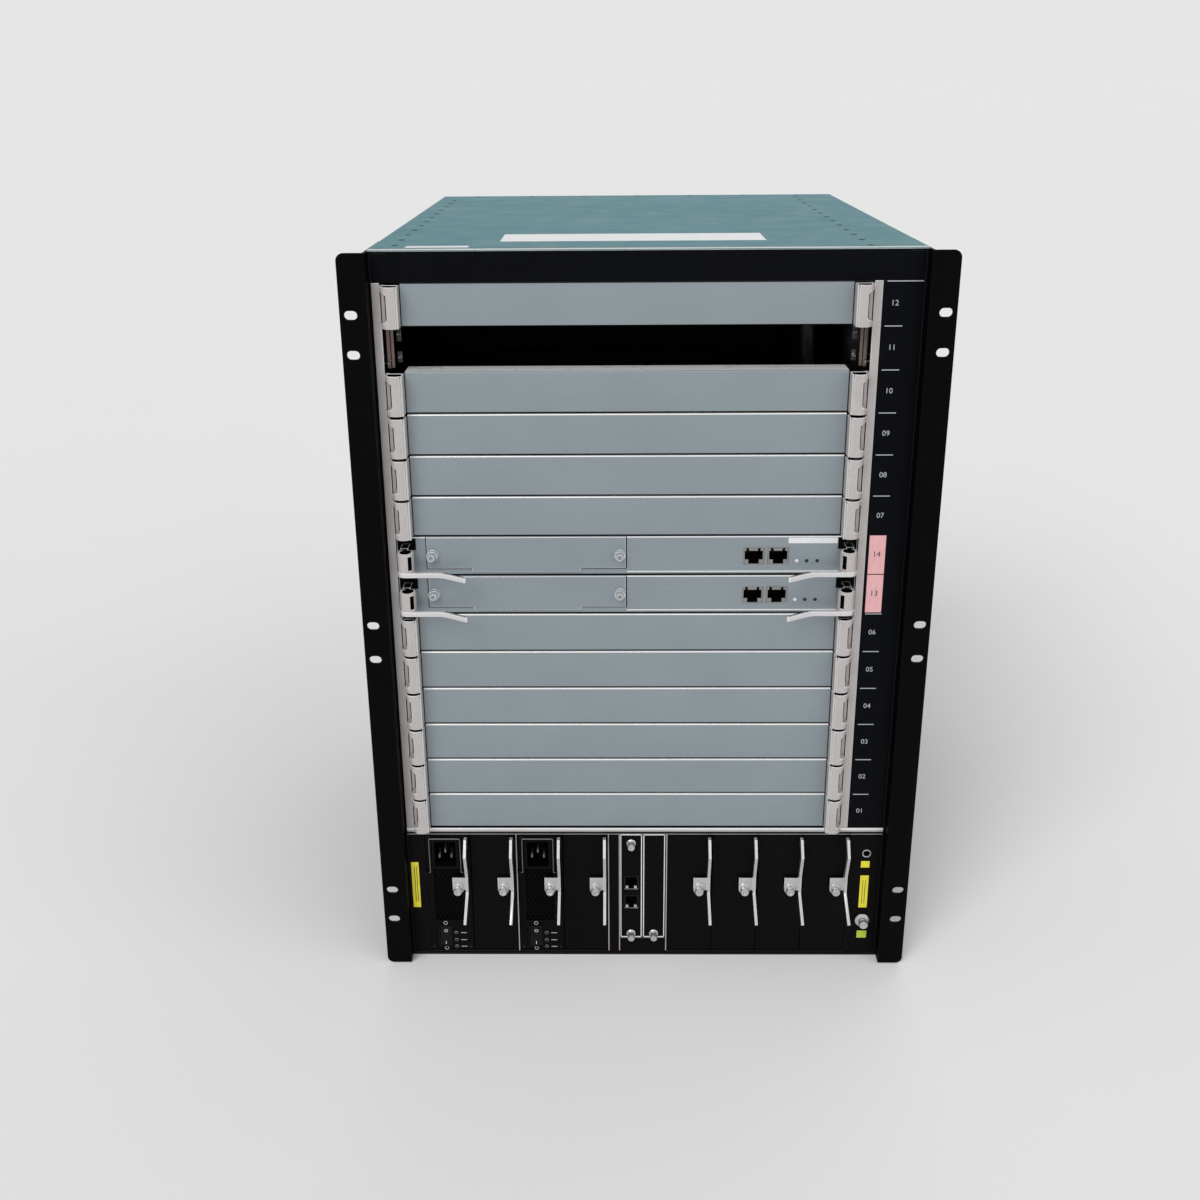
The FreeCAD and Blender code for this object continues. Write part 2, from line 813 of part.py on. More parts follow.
# ---------------------------------------------------------------- power bay
def power_bay_frame():
    """The welded frame under the cage: shelf, floor, margins, walls, earth stud, wrist-strap socket."""
    body = new_body("power_bay_frame")
    lip = front + cell.sheet
    back = front + cell.shelf_depth
    outline = [
        (front, bay_high), (lip, bay_high), (lip, shelf_top - cell.sheet), (back, shelf_top - cell.sheet),
        (back, shelf_top), (front, shelf_top),
    ]
    extrude(body, "X", -inner_half, inner_half, lambda sketch: polygon(sketch, outline))
    for wall in wall_lefts:
        box(body, wall, wall + cell.sheet, front, back, bay_floor, shelf_top - cell.sheet)
    box(body, -inner_half, inner_half, front, back, bay_floor, bay_low)
    between_flanges = inner_half - cell.flange
    box(body, -between_flanges, between_flanges, front, lip, floor, bay_floor)
    margins = [
        (-inner_half, module_lefts[0]), (wall_lefts[1], wall_lefts[2]), (bay_right, inner_half),
    ]
    for left, right in margins:
        box(body, left, right, front, lip, bay_floor, bay_high)
    sill_high = bay_low + cell.monitor_sill
    box(body, monitor_left, monitor_left + cell.module_spacing, front, lip, bay_low, sill_high)
    column = inner_half - cell.esd_from_right
    discs = [
        (cell.earth_stud, cell.earth_height, cell.earth_head_radius),
        (cell.earth_washer, cell.earth_height, cell.earth_radius),
        (cell.esd_proud, cell.esd_height, cell.esd_radius),
    ]
    for proud, height, radius in discs:
        extrude(body, "Y", front - proud, front,
                lambda sketch: ring(sketch, column, height, radius, FEW_SIDES))
    cut(body, "Y", front - cell.esd_proud, lip,
        lambda sketch: circle(sketch, column, cell.esd_height, cell.esd_bore))
    return body


module_width = cell.module_spacing - 2 * cell.module_gap
module_height = module_high - module_low
inlet_top = module_height - cell.inlet_below_top
bail_left = cell.inlet_from_left - cell.bail_beside_inlet
bail_right = cell.inlet_from_left + cell.inlet_width + cell.bail_beside_inlet
bail_top = inlet_top + cell.bail_above_inlet
bail_hinge = inlet_top - cell.inlet_height - cell.bail_below_inlet
lever_x = module_width - cell.lever_from_edge
pivot_z = module_height - cell.lever_pivot_below_top


def module_place(left):
    """Where a module's own frame lies: its lower left front corner."""
    return (left + cell.module_gap, module_front, module_low)


def lever_bearing(body):
    """The ear at a module's upper right corner, with the pin that its lever turns on."""
    ear_left = lever_x + cell.lever_thickness / 2 + cell.lever_play
    boss = 2 * cell.lever_pivot_radius
    y = -cell.lever_pivot_forward
    extrude(body, "X", ear_left, ear_left + cell.lug_thickness,
            lambda sketch: rectangle(sketch, y - boss, pivot_z - boss, 0, pivot_z + boss))
    extrude(body, "X", lever_x - cell.lever_thickness / 2, ear_left,
            lambda sketch: ring(sketch, y, pivot_z, cell.lever_pivot_radius, FEW_SIDES))


def power_supply(number):
    """A power supply: a closed casing with a shrouded inlet, a vent recess and a pocket for its rocker."""
    body = new_body(f"power_supply_{number}", module_place(module_lefts[2 * number - 2]))
    box(body, 0, module_width, 0, cell.module_depth, 0, module_height)
    left, right = cell.inlet_from_left, cell.inlet_from_left + cell.inlet_width
    high = inlet_top
    low = high - cell.inlet_height
    rim = cell.inlet_rim
    extrude(body, "Y", -cell.inlet_proud, 0, lambda sketch: rectangle(sketch, left, low, right, high))
    cut(body, "Y", -cell.inlet_proud, cell.inlet_recess,
        lambda sketch: rectangle(sketch, left + rim, low + rim, right - rim, high - rim))
    middle = (left + right) / 2
    pin = cell.inlet_pin
    half_pin = cell.inlet_pin_thickness / 2
    for x, z in ((-1, 0), (0, 1), (1, 0)):
        pin_x = middle + x * cell.inlet_pin_spacing
        pin_z = (low + high) / 2 + z * cell.inlet_pin_spacing
        box(body, pin_x - half_pin, pin_x + half_pin, pin, cell.inlet_recess, pin_z - pin / 2,
            pin_z + pin / 2)
    cut(body, "Y", 0, cell.vent_recess,
        lambda sketch: rectangle(sketch, cell.vent_from_left, cell.vent_from_bottom,
                                 cell.vent_from_left + cell.vent_width,
                                 cell.vent_from_bottom + cell.vent_height))
    gap = cell.rocker_gap
    pocket_left, pocket_low = cell.rocker_from_left - gap, cell.rocker_from_bottom - gap
    pocket_right = pocket_left + cell.rocker_width + 2 * gap
    cut(body, "Y", 0, cell.rocker_pocket_depth,
        lambda sketch: rectangle(sketch, pocket_left, pocket_low, pocket_right,
                                 pocket_low + cell.rocker_height + 2 * gap))
    extrude(body, "X", pocket_left, pocket_right,
            lambda sketch: ring(sketch, cell.rocker_pivot_depth,
                                cell.rocker_from_bottom + cell.rocker_height / 2,
                                cell.rocker_pin_radius, FEW_SIDES))
    for leg, side in ((bail_left, -1), (bail_right, 1)):
        bail_lug(body, leg, side)
    lever_bearing(body)
    return body


def bail_lug(body, leg, side):
    """The lug beside one leg of a cord bail, which the leg's end turns in."""
    near = leg + side * (cell.bail_wire / 2 + cell.bail_play)
    far = near + side * cell.bail_lug_thickness
    half = cell.bail_lug / 2
    y = -cell.bail_pivot_forward
    left, right = ordered(near, far)
    box(body, left, right, y - half, 0, bail_hinge - half, bail_hinge + half)
    cut(body, "X", left, right,
        lambda sketch: circle(sketch, y, bail_hinge, cell.bail_wire / 2 + cell.pivot_clearance))


def cord_bail(number):
    """The wire bail that holds a mains plug in, drawn about the axis through its two ends."""
    left, y, low = module_place(module_lefts[2 * number - 2])
    body = new_body(f"cord_bail_{number}", (left, y - cell.bail_pivot_forward, low + bail_hinge))
    half = cell.bail_wire / 2
    high = bail_top - bail_hinge
    outline = [
        (bail_left - half, -half), (bail_left - half, high + half), (bail_right + half, high + half),
        (bail_right + half, -half), (bail_right - half, -half), (bail_right - half, high - half),
        (bail_left + half, high - half), (bail_left + half, -half),
    ]
    extrude(body, "Y", -half, half, lambda sketch: polygon(sketch, outline))
    reach = half + cell.bail_play + cell.bail_lug_thickness
    for leg, side in ((bail_left, -1), (bail_right, 1)):
        extrude(body, "X", *ordered(leg, leg + side * reach),
                lambda sketch: ring(sketch, 0, 0, half, FEW_SIDES))
    return body


def rocker(number):
    """A rocker switch cap, round about its pivot and hollowed to a shallow V in front."""
    left, y, low = module_place(module_lefts[2 * number - 2])
    place = (left + cell.rocker_from_left, y + cell.rocker_pivot_depth,
             low + cell.rocker_from_bottom + cell.rocker_height / 2)
    body = new_body(f"rocker_{number}", place)
    radius = cell.rocker_height / 2
    far = cell.rocker_height
    width = cell.rocker_width
    extrude(body, "X", 0, width, lambda sketch: ring(sketch, 0, 0, radius, MANY_SIDES))
    valley = -cell.rocker_pivot_depth
    raised = valley - cell.rocker_bulge
    outline = [(-far, -far), (raised, -far), (raised, -radius), (valley, 0), (valley, far), (-far, far)]
    cut(body, "X", 0, width, lambda sketch: polygon(sketch, outline))
    cut(body, "X", 0, width, lambda sketch: rectangle(sketch, cell.rocker_back, -far, far, far))
    cut(body, "X", 0, width,
        lambda sketch: circle(sketch, 0, 0, cell.rocker_pin_radius + cell.pivot_clearance))
    return body


def blank_module(number, left):
    """A blank cover for an empty module place: a face with a return down each side."""
    body = new_body(f"blank_module_{number}", module_place(left))
    skin = cell.sheet
    right, deep = module_width, cell.blank_return
    outline = [
        (0, 0), (right, 0), (right, deep), (right - skin, deep), (right - skin, skin), (skin, skin),
        (skin, deep), (0, deep),
    ]
    extrude(body, "Z", 0, module_height, lambda sketch: polygon(sketch, outline))
    lever_bearing(body)
    return body


def lever(number, left):
    """A module lever, drawn about its pivot: an S-shaped hanging blade, with a lug for its screw."""
    x, y, z = module_place(left)
    body = new_body(f"lever_{number}", (x + lever_x, y - cell.lever_pivot_forward, z + pivot_z))
    wide = cell.lever_width
    forward, below = cell.lever_pivot_forward, cell.lever_pivot_below_top
    stations = [
        (forward - wide / 2, below - wide / 2),
        (forward + wide / 3, below - wide / 2),
        (cell.lever_crest, cell.lever_crest_drop),
        (cell.lever_waist, cell.lever_waist_top),
        (cell.lever_waist, cell.lever_waist_bottom),
        (cell.lever_tip_forward, cell.lever_tip_drop),
        (cell.lever_tip_forward - wide / 2, cell.lever_tip_drop + wide / 2),
        (cell.lever_waist - wide, cell.lever_waist_bottom + wide / 3),
        (cell.lever_waist - wide, cell.lever_waist_top),
        (cell.lever_crest - wide, cell.lever_crest_drop + wide / 3),
        (forward - wide / 2, below + wide / 3),
    ]
    outline = [(forward - ahead, below - drop) for ahead, drop in stations]
    half = cell.lever_thickness / 2
    extrude(body, "X", -half, half, lambda sketch: polygon(sketch, outline))
    lug_back = forward - cell.lever_waist + wide
    lug_low = below - cell.lever_waist_bottom
    box(body, -half - cell.lug_width, -half, lug_back - cell.lug_thickness, lug_back, lug_low,
        lug_low + cell.lug_height)
    cut(body, "X", -half, half,
        lambda sketch: circle(sketch, 0, 0, cell.lever_pivot_radius + cell.pivot_clearance))
    return body


monitor_low = bay_low + cell.monitor_sill + cell.module_clearance_height / 2


def monitor_card():
    """The monitoring card: an upright faceplate with its card behind it and two management ports."""
    body = new_body("monitor_card", (monitor_left + cell.module_gap, module_front, monitor_low))
    skin = cell.face_thickness
    right = cell.monitor_width
    card = skin + cell.board_thickness
    outline = [
        (0, 0), (right, 0), (right, skin), (card, skin), (card, cell.monitor_depth),
        (skin, cell.monitor_depth), (skin, skin), (0, skin),
    ]
    extrude(body, "Z", 0, module_high - monitor_low, lambda sketch: polygon(sketch, outline))
    port_right = card + cell.monitor_port_width
    wall = cell.port_wall
    for step in range(2):
        low = cell.monitor_port_up + step * cell.monitor_port_spacing
        top = low + cell.monitor_port_height
        box(body, card, port_right + wall, skin, cell.monitor_port_depth + wall, low - wall, top + wall)
        cut(body, "Y", 0, cell.monitor_port_depth,
            lambda sketch: rectangle(sketch, card, low, port_right, top))
    return body


def monitor_blank():
    """The cover of the second monitoring place."""
    left = monitor_left + cell.module_spacing - cell.module_gap - cell.monitor_width
    body = new_body("monitor_blank", (left, module_front, monitor_low))
    skin = cell.face_thickness
    right, deep = cell.monitor_width, cell.blank_return
    outline = [(0, 0), (right, 0), (right, deep), (right - skin, deep), (right - skin, skin), (0, skin)]
    extrude(body, "Z", 0, module_high - monitor_low, lambda sketch: polygon(sketch, outline))
    return body


# ---------------------------------------------------------------- backplane and rear
def backplane():
    """The backplane board, with a connector at each slot."""
    body = new_body("backplane")
    back = front + cell.backplane_at
    left, right = cage_left, cage_right - cell.backplane_side_gap
    box(body, left, right, back, back + cell.backplane_thickness, shelf_top, slots_top)
    start = left + cell.connector_from_left
    low = shelf_top + cell.connector_above_slot
    connector = box(body, start, start + cell.connector_width, back - cell.connector_depth, back, low,
                    low + cell.connector_height)
    repeat(body, [connector], ("Z", slot_spacing, cell.slot_count))
    return body


window_half = inner_half - cell.tray_frame
window_height = (top_inner - shelf_top - 3 * cell.tray_frame) / 2
fan_x = window_half / 2
fan_radius = fan_x - cell.fan_edge
tray_face = rear - cell.fan_wall


def window_low(row):
    """Lower edge of a fan window in the rear panel; row 0 is the lower one."""
    return shelf_top + cell.tray_frame + row * (window_height + cell.tray_frame)


def rear_panel():
    """The rear wall: two windows for the fan trays, and a row of vents behind the power bay."""
    body = new_body("rear_panel")
    box(body, -half_width, half_width, inner_rear, rear, floor, top_inner)
    for row in range(2):
        low = window_low(row)
        cut(body, "Y", inner_rear, rear,
            lambda sketch: rectangle(sketch, -window_half, low, window_half, low + window_height))
    left = -(cell.rear_vent_count - 1) * cell.rear_vent_spacing / 2 - cell.rear_vent_width / 2
    low = (bay_high - cell.rear_vent_height) / 2
    vent = cut(body, "Y", inner_rear, rear,
               lambda sketch: rectangle(sketch, left, low, left + cell.rear_vent_width,
                                        low + cell.rear_vent_height))
    repeat(body, [vent], ("X", cell.rear_vent_spacing, cell.rear_vent_count))
    return body


def fan_tray(row, word):
    """A fan tray: a duct open to the front, whose rear wall holds two ringed openings with their motors."""
    body = new_body(f"fan_tray_{word}", (0, 0, window_low(row)))
    half = window_half - cell.tray_gap
    low, high = cell.tray_gap, window_height - cell.tray_gap
    duct_front = rear - cell.tray_depth
    wall = cell.fan_wall
    box(body, -half, half, duct_front, rear, low, high)
    cut(body, "Y", duct_front, tray_face,
        lambda sketch: rectangle(sketch, wall - half, low + wall, half - wall, high - wall))
    lap = cell.tray_plate_overlap
    box(body, -half - lap, half + lap, rear, rear + cell.tray_plate, low - lap, high + lap)
    middle = window_height / 2
    back = rear + cell.tray_plate

    def openings(sketch):
        for x in (-fan_x, fan_x):
            ring(sketch, x, middle, fan_radius, MANY_SIDES)

    cut(body, "Y", tray_face, back, openings)
    strut = cell.fan_strut_width / 2
    for x in (-fan_x, fan_x):
        box(body, x - strut, x + strut, tray_face, back, middle - fan_radius, middle + fan_radius)
        box(body, x - fan_radius, x + fan_radius, tray_face, back, middle - strut, middle + strut)
        extrude(body, "Y", tray_face - cell.fan_motor_length, back,
                lambda sketch: ring(sketch, x, middle, cell.fan_motor_radius, FEW_SIDES))
        cut(body, "Y", tray_face - cell.fan_motor_length, tray_face,
            lambda sketch: circle(sketch, x, middle, cell.fan_shaft_radius + cell.pivot_clearance))
    pull_handle(body, back, middle)
    return body


def pull_handle(body, back, middle):
    """The bow handle between the two openings of a fan tray."""
    bar = cell.pull_handle_bar
    reach = back + cell.pull_handle_reach
    half = cell.pull_handle_width / 2
    outline = [
        (back, middle - half), (reach, middle - half), (reach, middle + half), (back, middle + half),
        (back, middle + half - bar), (reach - bar, middle + half - bar), (reach - bar, middle - half + bar),
        (back, middle - half + bar),
    ]
    extrude(body, "X", -bar / 2, bar / 2, lambda sketch: polygon(sketch, outline))


def fan_blade(body, root, tip):
    """A flat blade from root to tip along X, turned out of the plane of rotation by the blade angle."""
    sketch = new_sketch(body, "Y")
    sketch.AttachmentOffset = FreeCAD.Placement(Vector(), FreeCAD.Rotation(Vector(1, 0, 0), 1))
    sketch.setExpression("AttachmentOffset.Rotation.Angle", f"{cell.blade_angle.text} * 1 deg")
    inner, outer = cell.blade_root_chord / 2, cell.blade_tip_chord / 2
    polygon(sketch, [(root, -inner), (tip, -outer), (tip, outer), (root, inner)])
    blade = feature(body, "Pad", sketch, "blade")
    blade.setExpression("Length", cell.blade_thickness.text)
    blade.SideType = "Symmetric"
    return blade


def fan_rotor(row, word, side):
    """A fan rotor, drawn about its shaft: a hub, a shaft and a ring of widening blades."""
    hub_back = tray_face - cell.fan_motor_length - cell.fan_rotor_play
    place = (side * fan_x, hub_back - cell.fan_hub_length / 2, window_low(row) + window_height / 2)
    body = new_body(f"fan_rotor_{word}", place)
    half = cell.fan_hub_length / 2
    extrude(body, "Y", -half, half, lambda sketch: ring(sketch, 0, 0, cell.fan_hub_radius, FEW_SIDES))
    shaft_end = half + cell.fan_rotor_play + cell.fan_shaft_length
    extrude(body, "Y", half, shaft_end,
            lambda sketch: ring(sketch, 0, 0, cell.fan_shaft_radius, FEW_SIDES))
    blade = fan_blade(body, cell.fan_hub_radius - cell.fan_wall, fan_radius - cell.fan_clearance)
    blades = body.newObject("PartDesign::PolarPattern", f"{body.Name}_blades")
    blades.Originals = [blade]
    blades.Axis = (origin_feature(body, "Y_Axis"), [""])
    blades.Angle = 360
    blades.setExpression("Occurrences", cell.blade_count.text)
    body.Tip = blades
    return body


# ---------------------------------------------------------------- the whole
side_panel("side_panel_left", -1)
side_panel("side_panel_right", 1)
top_cover()
bottom_plate()
front_fascia()
slot_label_column()
ear("ear_left", -1)
ear("ear_right", 1)
card_rail("card_rail_left", cage_left, 1)
card_rail("card_rail_right", cage_right, -1)
power_bay_frame()
backplane()
rear_panel()

for position, name in enumerate(SLOT_NAMES):
    if name in CONTROL_SLOTS:
        control_board(name, position)
        subcard(name, position)
        ejector(name, position, 1, "left")
        ejector(name, position, -1, "right")
    elif name != OPEN_SLOT:
        filler(name, position)

SUPPLY_PLACES = (0, 2)
for number in (1, 2):
    power_supply(number)
    cord_bail(number)
    rocker(number)
for number, left in enumerate(module_lefts, start=1):
    if number - 1 not in SUPPLY_PLACES:
        blank_module(number, left)
    lever(number, left)
monitor_card()
monitor_blank()

for row, word in enumerate(("lower", "upper")):
    fan_tray(row, word)
    fan_rotor(row, f"{word}_left", -1)
    fan_rotor(row, f"{word}_right", 1)

document.recompute()

faults = [item.Name for item in document.Objects if {"Invalid", "Error"} & set(item.State)]
for body in built:
    if body.Shape.isNull() or not body.Shape.isValid() or not body.Shape.Solids:
        faults.append(body.Label)
if faults:
    raise RuntimeError("failed: " + ", ".join(faults))

os.makedirs("parts", exist_ok=True)
for body in built:
    body.Shape.exportStep(f"parts/{body.Label}.step")
print(len(built), "parts")
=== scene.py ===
"""The looks of the modular chassis switch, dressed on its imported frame.

Metres, +X to the right seen from the front, +Y to the rear, +Z up.
"""

import json
from math import ceil, cos, pi, radians, sin, sqrt, tau

import bmesh
import bpy
from mathutils import Matrix, Vector

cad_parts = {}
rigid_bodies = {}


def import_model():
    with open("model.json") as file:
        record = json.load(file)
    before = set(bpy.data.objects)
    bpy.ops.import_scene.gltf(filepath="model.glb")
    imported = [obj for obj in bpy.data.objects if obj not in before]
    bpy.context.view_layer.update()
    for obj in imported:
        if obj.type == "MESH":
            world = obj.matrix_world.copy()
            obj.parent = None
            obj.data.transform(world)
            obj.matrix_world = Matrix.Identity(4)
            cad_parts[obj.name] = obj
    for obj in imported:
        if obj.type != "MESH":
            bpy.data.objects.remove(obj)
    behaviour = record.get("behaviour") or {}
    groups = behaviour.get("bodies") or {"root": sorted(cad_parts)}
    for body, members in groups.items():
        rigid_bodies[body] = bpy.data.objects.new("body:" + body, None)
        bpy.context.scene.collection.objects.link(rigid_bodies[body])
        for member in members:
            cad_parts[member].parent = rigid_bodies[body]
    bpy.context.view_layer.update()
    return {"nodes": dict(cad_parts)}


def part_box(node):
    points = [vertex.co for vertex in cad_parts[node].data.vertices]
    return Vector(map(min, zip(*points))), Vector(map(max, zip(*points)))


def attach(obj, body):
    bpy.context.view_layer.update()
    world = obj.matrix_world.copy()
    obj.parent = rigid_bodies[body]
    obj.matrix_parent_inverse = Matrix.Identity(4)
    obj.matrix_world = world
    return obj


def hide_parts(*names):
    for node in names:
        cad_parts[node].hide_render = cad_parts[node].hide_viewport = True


for stray in list(bpy.data.objects):
    bpy.data.objects.remove(stray)

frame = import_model()

MM = 0.001
FORWARD = Vector((0, -1, 0))
REARWARD = Vector((0, 1, 0))
UP = Vector((0, 0, 1))
RIGHTWARD = Vector((1, 0, 0))


# ---- finishes
def shade(colour, factor):
    return tuple(min(1.0, part * factor) for part in colour)


class Finish:
    """One procedural material, its node tree built a node at a time."""

    def __init__(self, name, colour, metallic=0.0, roughness=0.5, gloss=0.5):
        self.material = bpy.data.materials.new(name)
        self.material.use_nodes = True
        self.material.diffuse_color = (*colour, 1)
        self.tree = self.material.node_tree
        self.shader = self.tree.nodes["Principled BSDF"]
        for socket, value in (("Base Color", (*colour, 1)), ("Metallic", metallic),
                              ("Roughness", roughness), ("Specular IOR Level", gloss)):
            self.shader.inputs[socket].default_value = value
        self.colour = colour
        self.roughness = roughness
        self.place = self.add("ShaderNodeTexCoord").outputs["Object"]

    def add(self, kind, values=None, **settings):
        """A node of a kind, with values for its inputs and settings of its own."""
        node = self.tree.nodes.new(kind)
        for setting, value in settings.items():
            setattr(node, setting, value)
        for socket, value in (values or {}).items():
            node.inputs[socket].default_value = value
        return node

    def link(self, source, target):
        self.tree.links.new(source, target)

    def noise(self, scale, detail=4.0, stretch=(1, 1, 1)):
        """Cloudy noise, its coordinates scaled along each axis by a stretch."""
        mapping = self.add("ShaderNodeMapping", {"Scale": stretch})
        self.link(self.place, mapping.inputs["Vector"])
        node = self.add("ShaderNodeTexNoise", {"Scale": scale, "Detail": detail})
        self.link(mapping.outputs["Vector"], node.inputs["Vector"])
        return node.outputs["Fac"]

    def cells(self, scale):
        """Distance from the middles of scattered cells."""
        node = self.add("ShaderNodeTexVoronoi", {"Scale": scale})
        self.link(self.place, node.inputs["Vector"])
        return node.outputs["Distance"]

    def spread(self, value, low, high, start=0.3, end=0.7):
        """A value from start..end spread over low..high."""
        node = self.add("ShaderNodeMapRange",
                        {"From Min": start, "From Max": end, "To Min": low, "To Max": high})
        self.link(value, node.inputs["Value"])
        return node.outputs["Result"]

    def mixed(self, factor, first, second):
        """Two colours mixed by a factor; each is a colour or an output."""
        node = self.add("ShaderNodeMix", data_type="RGBA")
        self.link(factor, node.inputs["Factor"])
        for socket, colour in ((node.inputs[6], first), (node.inputs[7], second)):
            if isinstance(colour, tuple):
                socket.default_value = (*colour, 1)
            else:
                self.link(colour, socket)
        return node.outputs[2]

    def varied(self, value, darker, lighter):
        """The finish's own colour, from a darker to a lighter shade as a value grows."""
        shades = shade(self.colour, darker), shade(self.colour, lighter)
        return self.mixed(self.spread(value, 0, 1), *shades)

    def finished(self, colour, marks, swing, grain, strength, depth):
        """The material in a colour, its roughness swinging with the marks, its relief a grain."""
        self.link(colour, self.shader.inputs["Base Color"])
        rough = self.spread(marks, self.roughness - swing, self.roughness + swing)
        self.link(rough, self.shader.inputs["Roughness"])
        bump = self.add("ShaderNodeBump", {"Strength": strength, "Distance": depth})
        self.link(grain, bump.inputs["Height"])
        self.link(bump.outputs["Normal"], self.shader.inputs["Normal"])
        return self.material


def painted(name, colour, roughness=0.42, gloss=0.5, dust=0.25, mottle=0.18):
    """Powder-coated sheet: orange peel, broad unevenness, and a little settled dust."""
    made = Finish(name, colour, 0.0, roughness, gloss)
    uneven = made.varied(made.noise(7, 5), 1 - mottle, 1 + mottle)
    specks = made.spread(made.noise(260, 6), 0, dust, 0.56, 0.74)
    dusty = made.mixed(specks, uneven, tuple(part * 0.7 + 0.10 for part in colour))
    return made.finished(dusty, made.noise(34, 6), swing=0.07,
                         grain=made.noise(1500, 2), strength=0.25, depth=0.00012)


def brushed(name, colour, roughness=0.36, along="X", metallic=0.9, streaks=0.12):
    """Sheet metal brushed along one axis, with smudges and fine scratches."""
    made = Finish(name, colour, metallic, roughness)
    grain = made.noise(1900, 3, tuple(0.015 if axis == along else 1 for axis in "XYZ"))
    smudge = made.noise(16, 5)
    streaked = made.varied(grain, 1 - streaks, 1 + streaks)
    smudged = made.mixed(made.spread(smudge, 0, 0.35), streaked, shade(colour, 0.8))
    return made.finished(smudged, smudge, swing=0.06, grain=grain, strength=0.12, depth=0.00006)


def satin(name, colour, roughness=0.45, metallic=0.75, fineness=900, wear=0.3):
    """Bead-blasted or cast metal: an even fine grain with faint handling marks."""
    made = Finish(name, colour, metallic, roughness)
    grain = made.noise(fineness, 4)
    marks = made.noise(45, 8)
    handled = made.spread(marks, 0, wear, 0.5, 0.75)
    worn = made.mixed(handled, made.varied(grain, 0.92, 1.08), shade(colour, 0.72))
    return made.finished(worn, marks, swing=0.08, grain=grain, strength=0.2, depth=0.0001)


def moulded(name, colour, roughness=0.5):
    """Moulded plastic with a fine spark-eroded texture."""
    made = Finish(name, colour, 0.0, roughness, 0.14)
    broad = made.noise(30, 5)
    return made.finished(made.varied(broad, 0.85, 1.15), broad, swing=0.06,
                         grain=made.cells(1300), strength=0.15, depth=0.0001)


def circuit(name, colour):
    """Solder-masked board: a brick pattern of traces, and tinned pads."""
    made = Finish(name, colour, 0.0, 0.5, 0.15)
    traces = made.add("ShaderNodeTexBrick", {
        "Scale": 90, "Mortar Size": 0.035, "Color1": (*colour, 1),
        "Color2": (*shade(colour, 0.75), 1), "Mortar": (*shade(colour, 1.6), 1),
    })
    made.link(made.place, traces.inputs["Vector"])
    tinned = made.spread(made.cells(170), 1, 0, 0.16, 0.2)
    face = made.mixed(tinned, traces.outputs["Color"], (0.03, 0.028, 0.024))
    return made.finished(face, made.noise(40, 4), swing=0.05,
                         grain=traces.outputs["Fac"], strength=0.3, depth=0.0001)


def paper(name, colour, roughness=0.55):
    """A self-adhesive label: faint fibres, slight soiling and a satin face."""
    made = Finish(name, colour, 0.0, roughness)
    fibres = made.noise(700, 8, (1, 1, 0.3))
    soil = made.noise(60, 6)
    soiled = made.mixed(made.spread(soil, 0, 0.25, 0.5, 0.8), made.varied(fibres, 0.93, 1.05),
                        shade(colour, 0.7))
    return made.finished(soiled, soil, swing=0.08, grain=fibres, strength=0.1, depth=0.00005)


body_black = painted("body_black", (0.0016, 0.002, 0.0034), 0.45, 0.055, 0.012)
ear_black = painted("ear_black", (0.0012, 0.0012, 0.0014), 0.5, 0.04, 0.01)
bay_black = painted("bay_black", (0.0026, 0.0018, 0.0022), 0.45, 0.06, 0.015)
# Near-black used for painted shade in recesses, gaps and wells.
painted_shade_black = painted("painted_shade_black", (0.0015, 0.0015, 0.0015), 0.7, 0.05, 0.01)
cover_teal = painted("cover_teal", (0.082, 0.205, 0.232), 0.5, 0.08, 0.01, 0.03)
# Light teal for the painted highlight along the top cover's front lip.
lip_highlight_teal = painted("lip_highlight_teal", (0.30, 0.38, 0.40), 0.4, 0.3, 0.02, 0.05)
panel_silver = brushed("panel_silver", (0.262, 0.305, 0.332), 0.42, "X", 0.3, 0.035)
block_silver = satin("block_silver", (0.50, 0.465, 0.455), 0.42, 0.25)
rail_silver = satin("rail_silver", (0.46, 0.43, 0.42), 0.4, 0.3)
shelf_silver = brushed("shelf_silver", (0.52, 0.50, 0.50), 0.36, "X", 0.4)
lever_silver = satin("lever_silver", (0.62, 0.62, 0.62), 0.3, 0.85, 1400)
case_steel = brushed("case_steel", (0.33, 0.34, 0.35), 0.4, "Y", 0.8)
# Near-white used for painted highlights on rounded edges, rims and upper edges.
painted_highlight = satin("painted_highlight", (0.80, 0.80, 0.81), 0.3, 0.2, 900, 0.06)
# The ejector arms' metal is a lighter copy of the hubs' metal: painted highlight.
lit_arm_silver = satin("lit_arm_silver", (0.66, 0.64, 0.65), 0.24, 0.4, 1400, 0.1)
shield_steel = satin("shield_steel", (0.27, 0.27, 0.27), 0.36, 0.5, 1400)
# A slightly lighter, glossier black: on the rounded edges of black parts it is partly edge wear and
# partly painted highlight; it also draws painted shade lines, dark screw heads and jack rims.
dark_edge = painted("dark_edge", (0.006, 0.0065, 0.008), 0.38, 0.2, 0.02)
screw_steel = satin("screw_steel", (0.58, 0.58, 0.58), 0.27, 0.8, 2500)
wire_steel = satin("wire_steel", (0.16, 0.16, 0.165), 0.3, 0.7, 2500)
plastic_black = moulded("plastic_black", (0.003, 0.003, 0.0034), 0.42)
fan_grey = moulded("fan_grey", (0.03, 0.031, 0.034), 0.5)
board_green = circuit("board_green", (0.0012, 0.0045, 0.0028))
label_white = paper("label_white", (0.74, 0.75, 0.76))
label_yellow = paper("label_yellow", (0.80, 0.72, 0.03))
label_green = paper("label_green", (0.45, 0.60, 0.04))
label_pink = paper("label_pink", (0.78, 0.42, 0.44))
print_grey = paper("print_grey", (0.42, 0.44, 0.46))
print_dark = paper("print_dark", (0.02, 0.02, 0.025))
